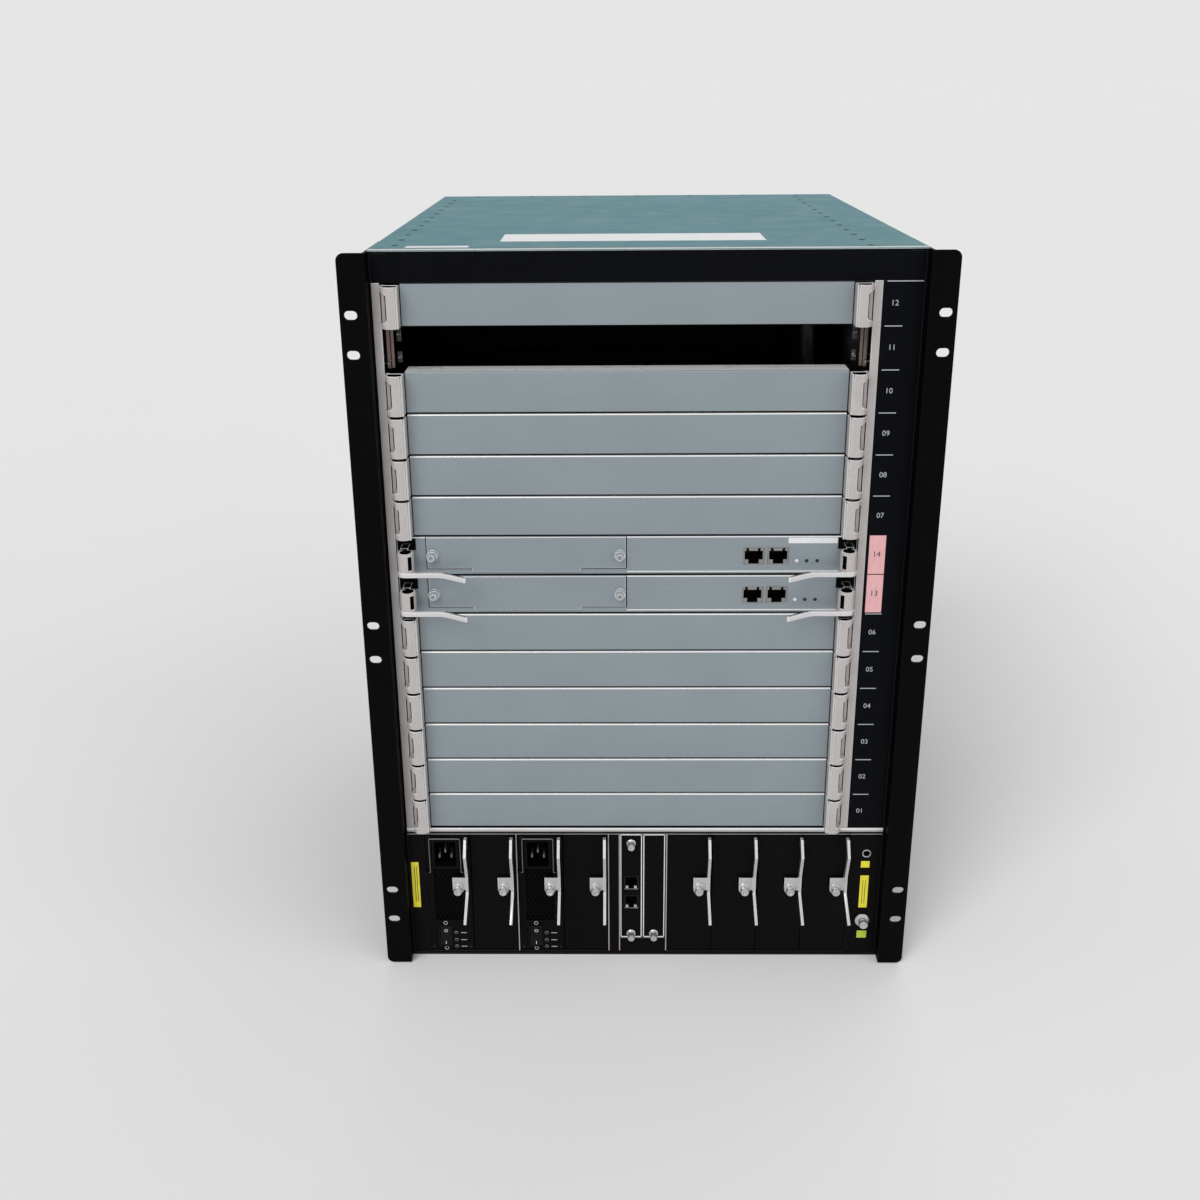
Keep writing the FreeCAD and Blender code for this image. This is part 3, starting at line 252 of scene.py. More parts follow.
copper = brushed("copper", (0.20, 0.145, 0.13), 0.4, "Z", 0.4)
# A darkened copy of the case steel: painted shade, used on the brackets inside the open slot.
shaded_steel = brushed("shaded_steel", (0.05, 0.05, 0.052), 0.5, "Y", 0.3)
gold = satin("gold", (0.75, 0.52, 0.18), 0.25, 1.0, 2500)
lamp_lens = moulded("lamp_lens", (0.03, 0.035, 0.03), 0.25)

# ---- the CAD's own solids
# The second finish of each row goes on the rounded edges where it differs from the first: mostly
# the near-white painted highlight, and on the black body parts a lighter black, partly edge wear
# and partly painted highlight.
DRESS = (
    (("side_panel", "bottom_plate", "front_fascia", "slot_label_column", "rear_panel"),
     body_black, dark_edge),
    (("ear",), ear_black, dark_edge),
    (("top_cover",), cover_teal, painted_highlight),
    (("card_rail",), rail_silver, painted_highlight),
    (("backplane",), board_green, board_green),
    (("power_bay_frame", "power_supply", "blank_module"), bay_black, dark_edge),
    (("monitor",), bay_black, painted_highlight),
    (("filler_slot", "control_board", "subcard"), panel_silver, painted_highlight),
    (("ejector",), block_silver, painted_highlight),
    (("cord_bail",), screw_steel, painted_highlight),
    (("rocker",), plastic_black, dark_edge),
    (("lever",), lever_silver, painted_highlight),
    (("fan_tray",), case_steel, painted_highlight),
    (("fan_rotor",), fan_grey, fan_grey),
)
EDGE_ROUND = 0.35 * MM
EDGE_SHARP = radians(35)
WELD_REACH = 0.005 * MM


def round_edges(made, width):
    """Rounds an object's sharp edges with a modifier, and returns the modifier."""
    bevel = made.modifiers.new("bevel", "BEVEL")
    bevel.width = width
    bevel.segments = 2
    bevel.limit_method = "ANGLE"
    bevel.harden_normals = True
    return bevel


def dress(name, node):
    """Gives a CAD solid its two finishes, the second one on edges softened by a modifier."""
    node.data.materials.clear()
    for starts, *finishes in DRESS:
        if name.startswith(starts):
            for material in finishes:
                node.data.materials.append(material)
    weld = node.modifiers.new("weld", "WELD")
    weld.merge_threshold = WELD_REACH
    bevel = round_edges(node, EDGE_ROUND)
    bevel.angle_limit = EDGE_SHARP
    bevel.material = 1


for name, node in frame["nodes"].items():
    dress(name, node)


def darken(name, hidden, finish=painted_shade_black):
    """Gives another finish to the faces of a CAD solid whose middle is hidden(middle); by default
    the near-black of painted shade.
    """
    node = frame["nodes"][name]
    node.data.materials.append(finish)
    for face in node.data.polygons:
        if hidden(face.center):
            face.material_index = len(node.data.materials) - 1


def side_skin(word):
    """Distance of a side panel's outer face from the middle, in metres."""
    return max(abs(corner.x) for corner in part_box(f"side_panel_{word}"))


FIELD_SHALLOW, FIELD_DEEP = 0.1 * MM, 1.2 * MM
RAIL_STRIP = 4 * MM
TRAY_WALL_INNER, TRAY_WALL_OUTER, TRAY_PLATE = 185 * MM, 192.3 * MM, 3.5 * MM
PORTS_LEFT, PORTS_RIGHT = 80 * MM, 123 * MM
PANEL_BACK, BRACKET_PROUD, CARD_BEHIND = 1.2 * MM, 1.5 * MM, 9 * MM
# Painted shade: near-black on the floors and walls of the pressed intake fields, and on the rails
# behind their front strips.
for word in ("left", "right"):
    skin = side_skin(word)
    darken(f"side_panel_{word}",
           lambda middle: skin - FIELD_DEEP < abs(middle.x) < skin - FIELD_SHALLOW)
    rail_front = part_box(f"card_rail_{word}")[0].y
    darken(f"card_rail_{word}", lambda middle: middle.y > rail_front + RAIL_STRIP)
# Painted shade: near-black on the inner walls of the fan trays, inside the chassis.
tray_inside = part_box("rear_panel")[1].y - TRAY_PLATE
for name in ("fan_tray_lower", "fan_tray_upper"):
    darken(name, lambda middle: TRAY_WALL_INNER < abs(middle.x) < TRAY_WALL_OUTER
           and middle.y < tray_inside)
# Painted shade: near-black inside the board jacks and on the board faces standing forward of the
# panel; the board far behind the panel gets its own green.
panel_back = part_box("front_fascia")[0].y + PANEL_BACK
for name in ("control_board_14", "control_board_13"):
    darken(name, lambda middle: PORTS_LEFT < middle.x < PORTS_RIGHT and middle.y > panel_back)
    darken(name, lambda middle: middle.y < panel_back - BRACKET_PROUD)
    darken(name, lambda middle: middle.y > panel_back + CARD_BEHIND, board_green)

# ---- making pieces
def at(x, y, z):
    """A point given in millimetres."""
    return Vector((x, y, z)) * MM


def placed(made, body, slot):
    """Puts an object in the scene, riding on its body. Its slot is not used."""
    bpy.context.scene.collection.objects.link(made)
    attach(made, body)
    return made


class Shape:
    """A mesh built up from simple forms, then fitted as one piece.

    Points are in metres, as at() gives them; radii, wires, cells and roundings in millimetres.
    """

    def __init__(self):
        self.mesh = bmesh.new()

    def turned(self, centre, toward, profile, sides=32, ribs=0.0):
        """A turned form of (radius, height) pairs along `toward`; ribs sink every other corner."""
        turn = UP.rotation_difference(toward).to_matrix()
        rings = []
        for radius, height in profile:
            ring = []
            for step in range(sides):
                angle = tau * step / sides
                reach = radius * MM * (1 - ribs * (step % 2))
                spot = Vector((reach * cos(angle), reach * sin(angle), height * MM))
                ring.append(self.corner(centre + turn @ spot))
            rings.append(ring)
        self.joined(rings)
        self.face(list(reversed(rings[0])))
        self.face(rings[-1])

    def corner(self, spot):
        return self.mesh.verts.new(spot)

    def face(self, corners, finish=0):
        """A face between corners, in the finish of that number."""
        self.mesh.faces.new(corners).material_index = finish

    def joined(self, rings, finish=0):
        """Bands of four-sided faces between rings of corners, in the finish of that number."""
        for lower, upper in zip(rings, rings[1:]):
            for step in range(len(lower)):
                after = (step + 1) % len(lower)
                self.face((lower[step], lower[after], upper[after], upper[step]), finish)

    def hoop(self, centre, toward, radius, wire, sides=64, around=8):
        """A ring of round wire."""
        radius, wire = radius * MM, wire * MM
        turn = UP.rotation_difference(toward).to_matrix()
        rings = []
        for step in range(sides):
            angle = tau * step / sides
            ring = []
            for part in range(around):
                swing = tau * part / around
                reach = radius + wire * cos(swing)
                spot = Vector((reach * cos(angle), reach * sin(angle), wire * sin(swing)))
                ring.append(self.corner(centre + turn @ spot))
            rings.append(ring)
        self.joined(rings + rings[:1])

    def slab(self, low, high):
        """A block between two corners."""
        made = bmesh.ops.create_cube(self.mesh, size=1)
        middle, size = (low + high) / 2, high - low
        for corner in made["verts"]:
            corner.co = middle + Vector(part * length for part, length in zip(corner.co, size))

    def prism(self, outline, offset):
        """A flat outline of corners, thickened by an offset."""
        near = [self.corner(corner) for corner in outline]
        far = [self.corner(corner + offset) for corner in outline]
        self.joined([near, far])
        self.face(list(reversed(near)))
        self.face(far)

    def honeycomb(self, low, high, across, up, cell, wall, depth):
        """A sheet of six-sided holes filling the rectangle from low to high, along across x up."""
        cell, wall, depth = cell * MM, wall * MM, depth * MM
        thickness = across.cross(up) * depth
        size = high - low
        width, height = size.dot(across), size.dot(up)
        rise = cell * sqrt(3) / 2
        rows, columns = ceil(height / rise) + 1, ceil(width / cell) + 1
        turns = [tau * step / 6 for step in range(6)]

        def corner(x, z):
            x, z = min(max(x, 0), width), min(max(z, 0), height)
            return low + across * x + up * z

        def extent(spots, axis):
            reaches = [spot.dot(axis) for spot in spots]
            return max(reaches) - min(reaches)

        for row in range(rows):
            for column in range(columns):
                x, z = (column + row % 2 / 2) * cell, row * rise
                outer, inner = (
                    [corner(x + reach * sin(turn), z + reach * cos(turn))
                     for turn in turns]
                    for reach in (cell / sqrt(3), (cell - wall) / sqrt(3)))
                if extent(inner, across) < wall or extent(inner, up) < wall:
                    self.prism(outer, thickness)
                    continue
                self.joined([
                    [self.corner(spot + thickness * share) for spot in ring]
                    for ring, share in ((outer, 0), (inner, 0), (inner, 1), (outer, 1))])

    def fitted(self, name, finishes, body, slot, rounding=0.0, smooth=40):
        """The finished piece, riding on its body. A second finish goes on its rounded edges."""
        bmesh.ops.remove_doubles(self.mesh, verts=self.mesh.verts, dist=0.0005 * MM)
        bmesh.ops.dissolve_degenerate(self.mesh, edges=self.mesh.edges, dist=0.0005 * MM)
        bmesh.ops.recalc_face_normals(self.mesh, faces=self.mesh.faces)
        data = bpy.data.meshes.new(name)
        self.mesh.to_mesh(data)
        self.mesh.free()
        finishes = finishes if isinstance(finishes, tuple) else (finishes,)
        for material in finishes:
            data.materials.append(material)
        data.shade_smooth()
        data.set_sharp_from_angle(angle=radians(smooth))
        made = bpy.data.objects.new(name, data)
        if rounding:
            bevel = round_edges(made, rounding * MM)
            if len(finishes) > 1:
                bevel.material = 1
        return placed(made, body, slot)


def box_mm(name):
    """The lowest and the highest corner of a CAD solid's box, in millimetres."""
    return [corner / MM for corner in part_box(name)]


def blocks(name, spans, finish, body, slot, rounding=0.0):
    """One piece made of blocks, each given by its two corners in millimetres."""
    shape = Shape()
    for low, high in spans:
        shape.slab(at(*low), at(*high))
    return shape.fitted(name, finish, body, slot, rounding)


def printed(name, words, spot, height, material, body, slot):
    """Small generic print on a face that looks forward."""
    curve = bpy.data.curves.new(name, "FONT")
    curve.body = words
    curve.size = height * MM
    curve.align_x = "CENTER"
    curve.align_y = "CENTER"
    curve.extrude = 0.03 * MM
    curve.resolution_u = 4
    curve.materials.append(material)
    made = bpy.data.objects.new(name, curve)
    made.location = spot
    made.rotation_euler = (radians(90), 0, 0)
    placed(made, body, slot)


BODY_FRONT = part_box("front_fascia")[0].y / MM
BODY_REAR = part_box("rear_panel")[1].y / MM
PANEL_FACE = BODY_FRONT + 1
PRINT_FACE = BODY_FRONT - 0.05
COLUMN_LOW, COLUMN_HIGH = box_mm("slot_label_column")
COVER_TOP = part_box("top_cover")[1].z / MM
SLOT_NAMES = [
    "12", "11", "10", "09", "08", "07", "14", "13", "06", "05", "04", "03", "02", "01",
]
SLOT_HEIGHT = (COLUMN_HIGH.z - COLUMN_LOW.z) / len(SLOT_NAMES)
CONTROL_SLOTS = ("14", "13")
TOP_SLOT, OPEN_SLOT, BELOW_OPEN = "12", "11", "10"


def slot_top(name):
    """Height of a card slot's upper edge, in millimetres."""
    return COLUMN_HIGH.z - SLOT_NAMES.index(name) * SLOT_HEIGHT


# ---- blank panels
GRIP_WIDTH, GRIP_DEPTH, GRIP_ROUND = 14.5, 12.5, 8
GRIP_WALL, GRIP_HOLLOW, GRIP_GAP = 0.82, 2.8, 1
GROOVE_WIDTH, GROOVE_DEPTH = 1, 1.2
BITE_DEPTH, BITE_END, BITE_SLOPE = 5.6, 3.2, 3.8
PANEL_SKIN, PANEL_ROLL, PANEL_FLANGE, PANEL_CUT = 1.5, 1.1, 8, 0.4
PANEL_SHADOW, END_SEEN, END_INSET = 0.9, 2.6, 0.8


def quarter(steps):
    """The sine and cosine at each step of a quarter turn."""
    angles = [pi / 2 * step / steps for step in range(steps + 1)]
    return [(sin(angle), cos(angle)) for angle in angles]


def grip_section(bite):
    """A grip's level outline: inward and forward of its outer corner, cut back by the bite."""
    straight = GRIP_DEPTH - GRIP_ROUND
    slope = GRIP_DEPTH - 1
    groove = GRIP_WIDTH - 2 * GROOVE_WIDTH
    outline = [(0, 0)]
    outline += [(GRIP_ROUND * (1 - run), straight + GRIP_ROUND * rise) for rise, run in quarter(9)]
    outline += [(GRIP_ROUND + 2, GRIP_DEPTH - 0.2), (groove, slope), (groove, slope - GROOVE_DEPTH),
                (groove + GROOVE_WIDTH, slope - GROOVE_DEPTH), (groove + GROOVE_WIDTH, slope),
                (GRIP_WIDTH, slope - 0.4), (GRIP_WIDTH, 0)]
    return [(max(inward, bite), forward) for inward, forward in outline]


def grip(shape, outer, side, face, low, high):
    """One grip of a blank panel: a rounded, waisted upright, hollow at its top, with painted
    highlight on its top rim and painted shade in the hollow.
    """
    middle, depth = GRIP_WIDTH / 2, GRIP_DEPTH / 2

    def level(height, bite, share=1.0):
        return [
            shape.corner(at(outer + side * (middle + (inward - middle) * share),
                                    face - depth - (forward - depth) * share, height))
            for inward, forward in grip_section(bite)
        ]

    bites = [(BITE_END + BITE_SLOPE * step / 5, BITE_DEPTH * rise * rise)
             for step, (rise, run) in enumerate(quarter(5))]
    rings = [level(low, 0)] + [level(low + height, bite) for height, bite in bites]
    rings += [level(high - height, bite) for height, bite in reversed(bites)] + [level(high, 0)]
    shape.joined(rings)
    shape.face(rings[0])
    rim, well = level(high, 0, GRIP_WALL), level(high - GRIP_HOLLOW, 0, GRIP_WALL)
    shape.joined([rings[-1], rim], 1)
    shape.joined([rim, well], 2)
    shape.face(well, 2)


def blank_panel(name):
    """A blank panel with a rolled upper edge and two grips, over the plain solid of the frame. It
    carries painted highlight on its upper edge and painted shade on its lower lip and beside its
    grips.
    """
    node = f"filler_slot_{name}"
    low, high = box_mm(node)
    face = low.y + GRIP_DEPTH
    back, inner = face + PANEL_FLANGE, face + PANEL_SKIN
    seam, roll = low.z + PANEL_SHADOW, high.z - PANEL_ROLL
    outline = [(back, low.z), (face + PANEL_CUT, low.z), (face, low.z + PANEL_CUT), (face, seam)]
    outline += [(face + PANEL_ROLL * (1 - run), roll + PANEL_ROLL * rise)
                for rise, run in quarter(4)]
    outline += [(high.y, high.z), (high.y, high.z - PANEL_SKIN), (inner, high.z - PANEL_SKIN),
                (inner, low.z + PANEL_SKIN), (back, low.z + PANEL_SKIN)]
    inset = GRIP_WIDTH + END_INSET
    panel = Shape()
    panel.prism([at(low.x + inset, y, z) for y, z in outline],
                at(high.x - low.x - 2 * inset, 0, 0))
    # Painted highlight on the rolled upper edge, but on the top panel and the panel under the open
    # slot only on the flat top flange; painted shade on the lip below the seam.
    highlight_above = high.z - 0.01 if name in (TOP_SLOT, BELOW_OPEN) else roll
    for part in panel.mesh.faces:
        middle = part.calc_center_median() / MM
        if middle.z > highlight_above:
            part.material_index = 1
        elif middle.z < seam:
            part.material_index = 2
    panel = panel.fitted(f"panel_{name}", (panel_silver, painted_highlight, painted_shade_black), "chassis",
                         "panel_metal")
    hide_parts(node)
    # The ends show the rail's metal; the strips between them and the panel are painted shade.
    ends, shadows, grips = Shape(), Shape(), Shape()
    for outer, side in ((low.x, 1), (high.x, -1)):
        for shape, near, far in ((ends, 0, END_SEEN), (shadows, END_SEEN + 0.05, inset - 0.05)):
            first, last = sorted((outer + side * near, outer + side * far))
            shape.slab(at(first, face, low.z), at(last, inner, high.z - PANEL_ROLL))
        grip(grips, outer, side, face, low.z + 0.1, high.z - 0.3 - GRIP_GAP)
    ends.fitted(f"panel_ends_{name}", rail_silver, "chassis", "panel_metal")
    shadows.fitted(f"panel_end_shade_{name}", painted_shade_black, "chassis", "panel_metal")
    grips.fitted(f"grips_{name}", (block_silver, painted_highlight, painted_shade_black), "chassis",
                 "panel_metal", 0.3)


for name in SLOT_NAMES:
    if name != OPEN_SLOT and name not in CONTROL_SLOTS:
        blank_panel(name)

# ---- slot numbers
NUMBER_X, LABEL_NUMBER_X = 195, 194.2
TICK_LEFT, TICK_RIGHT = 188, 202
LABEL_LEFT, LABEL_RIGHT = 187.6, 201.4
tick_spans = []
for name in SLOT_NAMES:
    top = slot_top(name)
    middle = top - SLOT_HEIGHT / 2
    if name in CONTROL_SLOTS:
        span = ((LABEL_LEFT, BODY_FRONT - 0.15, top - SLOT_HEIGHT + 1),
                (LABEL_RIGHT, BODY_FRONT, top + 0.2))
        blocks(f"slot_label_{name}", [span], label_pink, "chassis", "body_paint", 0.06)
        number = at(LABEL_NUMBER_X, BODY_FRONT - 0.16, middle + 0.8), 7, print_dark
    else:
        right = COLUMN_HIGH.x - 1 if name == TOP_SLOT else TICK_RIGHT
        tick_spans.append(((TICK_LEFT, PRINT_FACE, top - 0.9), (right, BODY_FRONT, top - 0.1)))
        number = at(NUMBER_X, PRINT_FACE, middle), 6.4, print_grey
    printed(f"slot_number_{name}", name, *number, "chassis", "body_paint")
blocks("slot_ticks", tick_spans, print_grey, "chassis", "body_paint")

# ---- top cover
PROUD = 0.05
RIVET_STEP, REAR_RIVET_STEP = 35, 60
# The seam is a painted shadow of the gap at the cover's front; the lip is a painted highlight along
# its front edge.
COVER_MARKS = (
    ("cover_label", (-119, -185), (98, -136), label_white),
    ("cover_strip", (-191, -221), (-141, -211), label_white),
    ("cover_gap_shadow", (-217, -226), (217, -223.5), dark_edge),
    ("cover_lip_highlight", (-217.5, -231.6), (217.5, -226.5), lip_highlight_teal),
)


def cover_details():
    """The bare label strips, the painted shadow of the front gap, the painted highlight of the lip,
    and the shallow rivets of the top cover.
    """
    for name, front_left, rear_right, finish in COVER_MARKS:
        span = (*front_left, COVER_TOP), (*rear_right, COVER_TOP + PROUD)
        blocks(name, [span], finish, "chassis", "cover_paint")
    rivets = Shape()
    head = [(2.7, 0), (2.5, PROUD), (1.8, PROUD), (1.2, 0.02)]
    spots = [(175.5, -220.5 + RIVET_STEP * step) for step in range(13)]
    spots += [(-201.5, -206 + RIVET_STEP * step) for step in range(12)]
    spots += [(REAR_RIVET_STEP * step, 224) for step in range(-3, 4)]
    for x, y in spots:
        rivets.turned(at(x, y, COVER_TOP), UP, head, 20)
    # The rivets are drawn in the same near-black as the painted shade.
    rivets.fitted("cover_rivets", painted_shade_black, "chassis", "cover_paint")


cover_details()

# ---- open slot
RAIL_WIDTH = 6.5
SPRINGS = (1.2, 2.8, -223), (4.4, 2.4, -221)
BRACKET_LEFT, BRACKET_RIGHT, BRACKET_FRONT, BRACKET_BACK = 8, 12, -214, -212.6
BOLT_HEAD = [(1.9, 0), (1.9, 0.9), (1.3, 1.3), (0.6, 0.8)]


def slot_liners():
    """The sprung contact strips and small brackets seen at both ends of the open slot; the brackets
    carry painted shade in a darkened steel.
    """
    high = slot_top(OPEN_SLOT) - 0.6
    low = high - SLOT_HEIGHT + 1.2
    springs, brackets, bolts = Shape(), Shape(), Shape()
    for edge, side in ((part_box("card_rail_left")[0].x / MM + RAIL_WIDTH, 1),
                       (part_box("card_rail_right")[1].x / MM - RAIL_WIDTH, -1)):
        for offset, width, front in SPRINGS:
            first, last = sorted((edge + side * offset, edge + side * (offset + width)))
            springs.slab(at(first, front, low), at(last, front + 0.8, high))
        first, last = sorted((edge + side * BRACKET_LEFT, edge + side * BRACKET_RIGHT))
        for bottom, top, height in ((high - 14, high - 3, high - 8),
                                    (low + 3, low + 12, low + 7.5)):
            brackets.slab(at(first, BRACKET_FRONT, bottom), at(last, BRACKET_BACK, top))
            bolts.turned(at(edge + side * 10, BRACKET_FRONT, height), FORWARD, BOLT_HEAD, 20)
    springs.fitted("slot_springs", copper, "chassis", "rail_metal", 0.15)
    brackets.fitted("slot_brackets", shaded_steel, "chassis", "rail_metal", 0.2)
    bolts.fitted("slot_bolts", wire_steel, "chassis", "rail_metal")


slot_liners()


# ---- fasteners
def captive_screw(shape, centre, toward, radius, length):
    """A knurled captive screw with a washer, a waist and a socket in its head."""
    r, l = radius, length
    shape.turned(centre, toward, [(r * 1.3, 0), (r * 1.3, l * 0.1), (r * 1.15, l * 0.16)], 32)
    shape.turned(centre, toward, [(r * 0.8, l * 0.1), (r * 0.8, l * 0.34)], 24)
    shape.turned(centre, toward, [(r * 0.92, l * 0.3), (r, l * 0.36), (r, l * 0.9), (r * 0.88, l),
                                  (r * 0.52, l), (r * 0.46, l * 0.78)], 48, 0.05)


def flat_screw(shape, centre, toward, radius):
    """A low domed screw head with a round recess."""
    r = radius
    shape.turned(centre, toward, [(r, 0), (r, r * 0.1), (r * 0.85, r * 0.28), (r * 0.42, r * 0.32),
                                  (r * 0.3, r * 0.05)], 24)


# ---- control boards
JACK_WALL, JACK_LEDGE, JACK_LEDGE_SHARE = 1.1 * MM, 2.6 * MM, 0.26
JACK_RIM, JACK_RIM_PROUD = 0.6 * MM, 0.25 * MM
CONTACT_HALF = 0.2 * MM


def jack(lining, contacts, rims, low, high, depth):
    """The lining, contacts and bright rim of one modular jack, its opening from low to high."""
    x0, z0, x1, z1 = low.x, low.z, high.x, high.z
    front, back = low.y, low.y + depth
    mouth, ledge, step = front + JACK_WALL, z0 + JACK_LEDGE, (x1 - x0) * JACK_LEDGE_SHARE
    for left, near, bottom, right, top in (
            (x0, mouth, z0, x0 + JACK_WALL, z1), (x1 - JACK_WALL, mouth, z0, x1, z1),
            (x0, mouth, z1 - JACK_WALL, x1, z1), (x0, back - JACK_WALL, z0, x1, z1),
            (x0, mouth, z0, x0 + step, ledge), (x1 - step, mouth, z0, x1, ledge)):
        lining.slab(Vector((left, near, bottom)), Vector((right, back, top)))
    wire = ((front + 3 * MM, z1 - 1.6 * MM), (front + 3 * MM, z1 - 2.1 * MM),
            (back - 2 * MM, z0 + 5.4 * MM), (back - 2 * MM, z0 + 6.0 * MM))
    for number in range(8):
        x = x0 + (x1 - x0) * (0.24 + 0.52 * number / 7)
        contacts.prism([Vector((x - CONTACT_HALF, y, z)) for y, z in wire],
                       Vector((2 * CONTACT_HALF, 0, 0)))
    for left, bottom, right, top in (
            (x0 - JACK_RIM, z0 - JACK_RIM, x1 + JACK_RIM, z0),
            (x0 - JACK_RIM, z1, x1 + JACK_RIM, z1 + JACK_RIM),
            (x0 - JACK_RIM, z0, x0, z1), (x1, z0, x1 + JACK_RIM, z1)):
        rims.slab(Vector((left, front - JACK_RIM_PROUD, bottom)),
                  Vector((right, front, top)))


def shield(shape, low, high):
    """The folded steel in a jack's mouth: a slotted band above, a corner at each side below."""
    width, height = high.x - low.x, high.z - low.z
    for left, bottom, right, top in (
            (0, 0.8, 0.13, 1), (0.26, 0.8, 0.7, 1), (0.83, 0.8, 1, 1), (0, 0, 0.05, 0.8),
            (0.95, 0, 1, 0.8), (0.05, 0, 0.24, 0.26), (0.76, 0, 0.95, 0.26)):
        shape.slab(
            Vector((low.x + width * left, low.y + 0.3 * MM, low.z + height * bottom)),
            Vector((low.x + width * right, low.y + 1 * MM, low.z + height * top)))


EJECTOR_RADIUS, EJECTOR_WALL, EJECTOR_WELL = 7, 1.3, 5
EJECTOR_BEND, EJECTOR_REACH, EJECTOR_FLARE = 30, 52, 12.5
ARM_HEIGHT, ARM_DEPTH, ARM_LIP = 4, 4, 0.5
WINDOW_HEIGHT, WINDOW_DEPTH, WINDOW_FIRST, WINDOW_LAST = 12, 3, 39, 43
HUB_DROP = 3
HUB_SIDES = 48


def hub_ring(shape, centre, side, radius, height):
    """Corners round an ejector's upright axis, numbered from its arm's side by way of the rear."""
    return [
        shape.corner(at(centre.x + side * radius * cos(tau * step / HUB_SIDES),
                                centre.y + radius * sin(tau * step / HUB_SIDES), height))
        for step in range(HUB_SIDES)
    ]


def ejector_hub(shape, centre, side, low, high):
    """The hub of an ejector: an upright tube with a rounded, hollow top and a window in front, with
    painted highlight on its rim and painted shade in its window and hollow.
    """
    middle = (low + ARM_HEIGHT + high) / 2
    window_low, window_high = middle - WINDOW_HEIGHT / 2, middle + WINDOW_HEIGHT / 2
    radius = EJECTOR_RADIUS
    profile = [(radius, low), (radius, window_low), (radius, window_high), (radius, high - 0.8),
               (radius - 0.25, high - 0.25), (radius - 0.8, high)]
    rings = [hub_ring(shape, centre, side, *level) for level in profile]
    inner = [hub_ring(shape, centre, side, radius - WINDOW_DEPTH, height)
             for height in (window_low, window_high)]
    for number, (lower, upper) in enumerate(zip(rings, rings[1:])):
        for step in range(HUB_SIDES):
            after = (step + 1) % HUB_SIDES
            corners = (lower[step], lower[after], upper[after], upper[step])
            if number == 1 and WINDOW_FIRST <= step < WINDOW_LAST:
                well = (inner[0][step], inner[0][after], inner[1][after], inner[1][step])
                shape.face(well, 2)
                for near, far in ((0, 1), (2, 3)):
                    wall = (corners[near], corners[far], well[far], well[near])
                    shape.face(wall, 2)
            else:
                shape.face(corners)
    for step in (WINDOW_FIRST, WINDOW_LAST):
        wall = (rings[1][step], rings[2][step], inner[1][step], inner[0][step])
        shape.face(wall, 2)
    shape.face(rings[0])
    rim = hub_ring(shape, centre, side, radius - 0.8 - EJECTOR_WALL, high)
    floor = hub_ring(shape, centre, side, radius - 0.8 - EJECTOR_WALL, high - EJECTOR_WELL)
    shape.joined([rings[-1], rim], 1)
    shape.joined([rim, floor], 2)
    shape.face(floor, 2)


def ejector_arm(shape, centre, side, low):
    """The flat arm of an ejector, cranked forward in a smooth bend and rounded at its tip."""
    front = -EJECTOR_RADIUS
    slope = EJECTOR_FLARE / (EJECTOR_REACH - EJECTOR_BEND)
    path = []
    for step in range(6):
        angle = radians(200 + 14 * step)
        lip = EJECTOR_RADIUS + ARM_LIP
        path.append((max(lip * cos(angle), front), lip * sin(angle)))
    for step in range(9):
        reach = EJECTOR_BEND - 5 + 10 * step / 8
        path.append((reach, front - slope * 20 * (step / 8) ** 2 / 4))
    path.append((EJECTOR_REACH - 1.2, front - EJECTOR_FLARE + 0.7))
    path.append((EJECTOR_REACH, front - EJECTOR_FLARE + 1.6))
    back = [(x, y + ARM_DEPTH) for x, y in path[:-1]]
    back.append((EJECTOR_REACH, front - EJECTOR_FLARE + 2.6))
    outline = [at(centre.x + side * x, centre.y + y, low) for x, y in path + back[::-1]]
    shape.prism(outline, at(0, 0, ARM_HEIGHT))


def arm_groove_shade(shape, centre, side, low):
    """A thin near-black strip along the outer half of an arm's top: painted shade for its groove.
    """
    front, slope = -EJECTOR_RADIUS, EJECTOR_FLARE / (EJECTOR_REACH - EJECTOR_BEND)
    ends = [(EJECTOR_BEND + 2, front - slope * 2), (EJECTOR_REACH - 2, front - EJECTOR_FLARE + 1.2)]
    path = [(x, y + ARM_DEPTH - 1.3) for x, y in ends]
    path += [(x, y + ARM_DEPTH - 0.2) for x, y in ends[::-1]]
    shape.prism([at(centre.x + side * x, centre.y + y, low + ARM_HEIGHT - 0.05) for x, y in path],
                at(0, 0, 0.15))


def smooth_ejector(name, word):
    """A rounded ejector lever over the plain one of the frame; returns its axis and hub top."""
    node = f"ejector_{name}_{word}"
    side = 1 if word == "left" else -1
    low, high = box_mm(node)
    outer = low.x if side > 0 else high.x
    centre = Vector((outer + side * EJECTOR_RADIUS, high.y - EJECTOR_RADIUS, 0))
    top = high.z - HUB_DROP
    hub, arm, groove = Shape(), Shape(), Shape()
    ejector_hub(hub, centre, side, low.z, top)
    hub = hub.fitted(f"{node}_hub", (block_silver, painted_highlight, painted_shade_black), node, "lever_metal")
    # The arm is drawn lighter than its hub: painted highlight.
    ejector_arm(arm, centre, side, low.z)
    arm.fitted(f"{node}_arm", (lit_arm_silver, painted_highlight), node, "lever_metal", 0.6)
    arm_groove_shade(groove, centre, side, low.z)
    groove.fitted(f"{node}_groove", painted_shade_black, node, "lever_metal")
    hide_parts(node)
    return centre.x, top


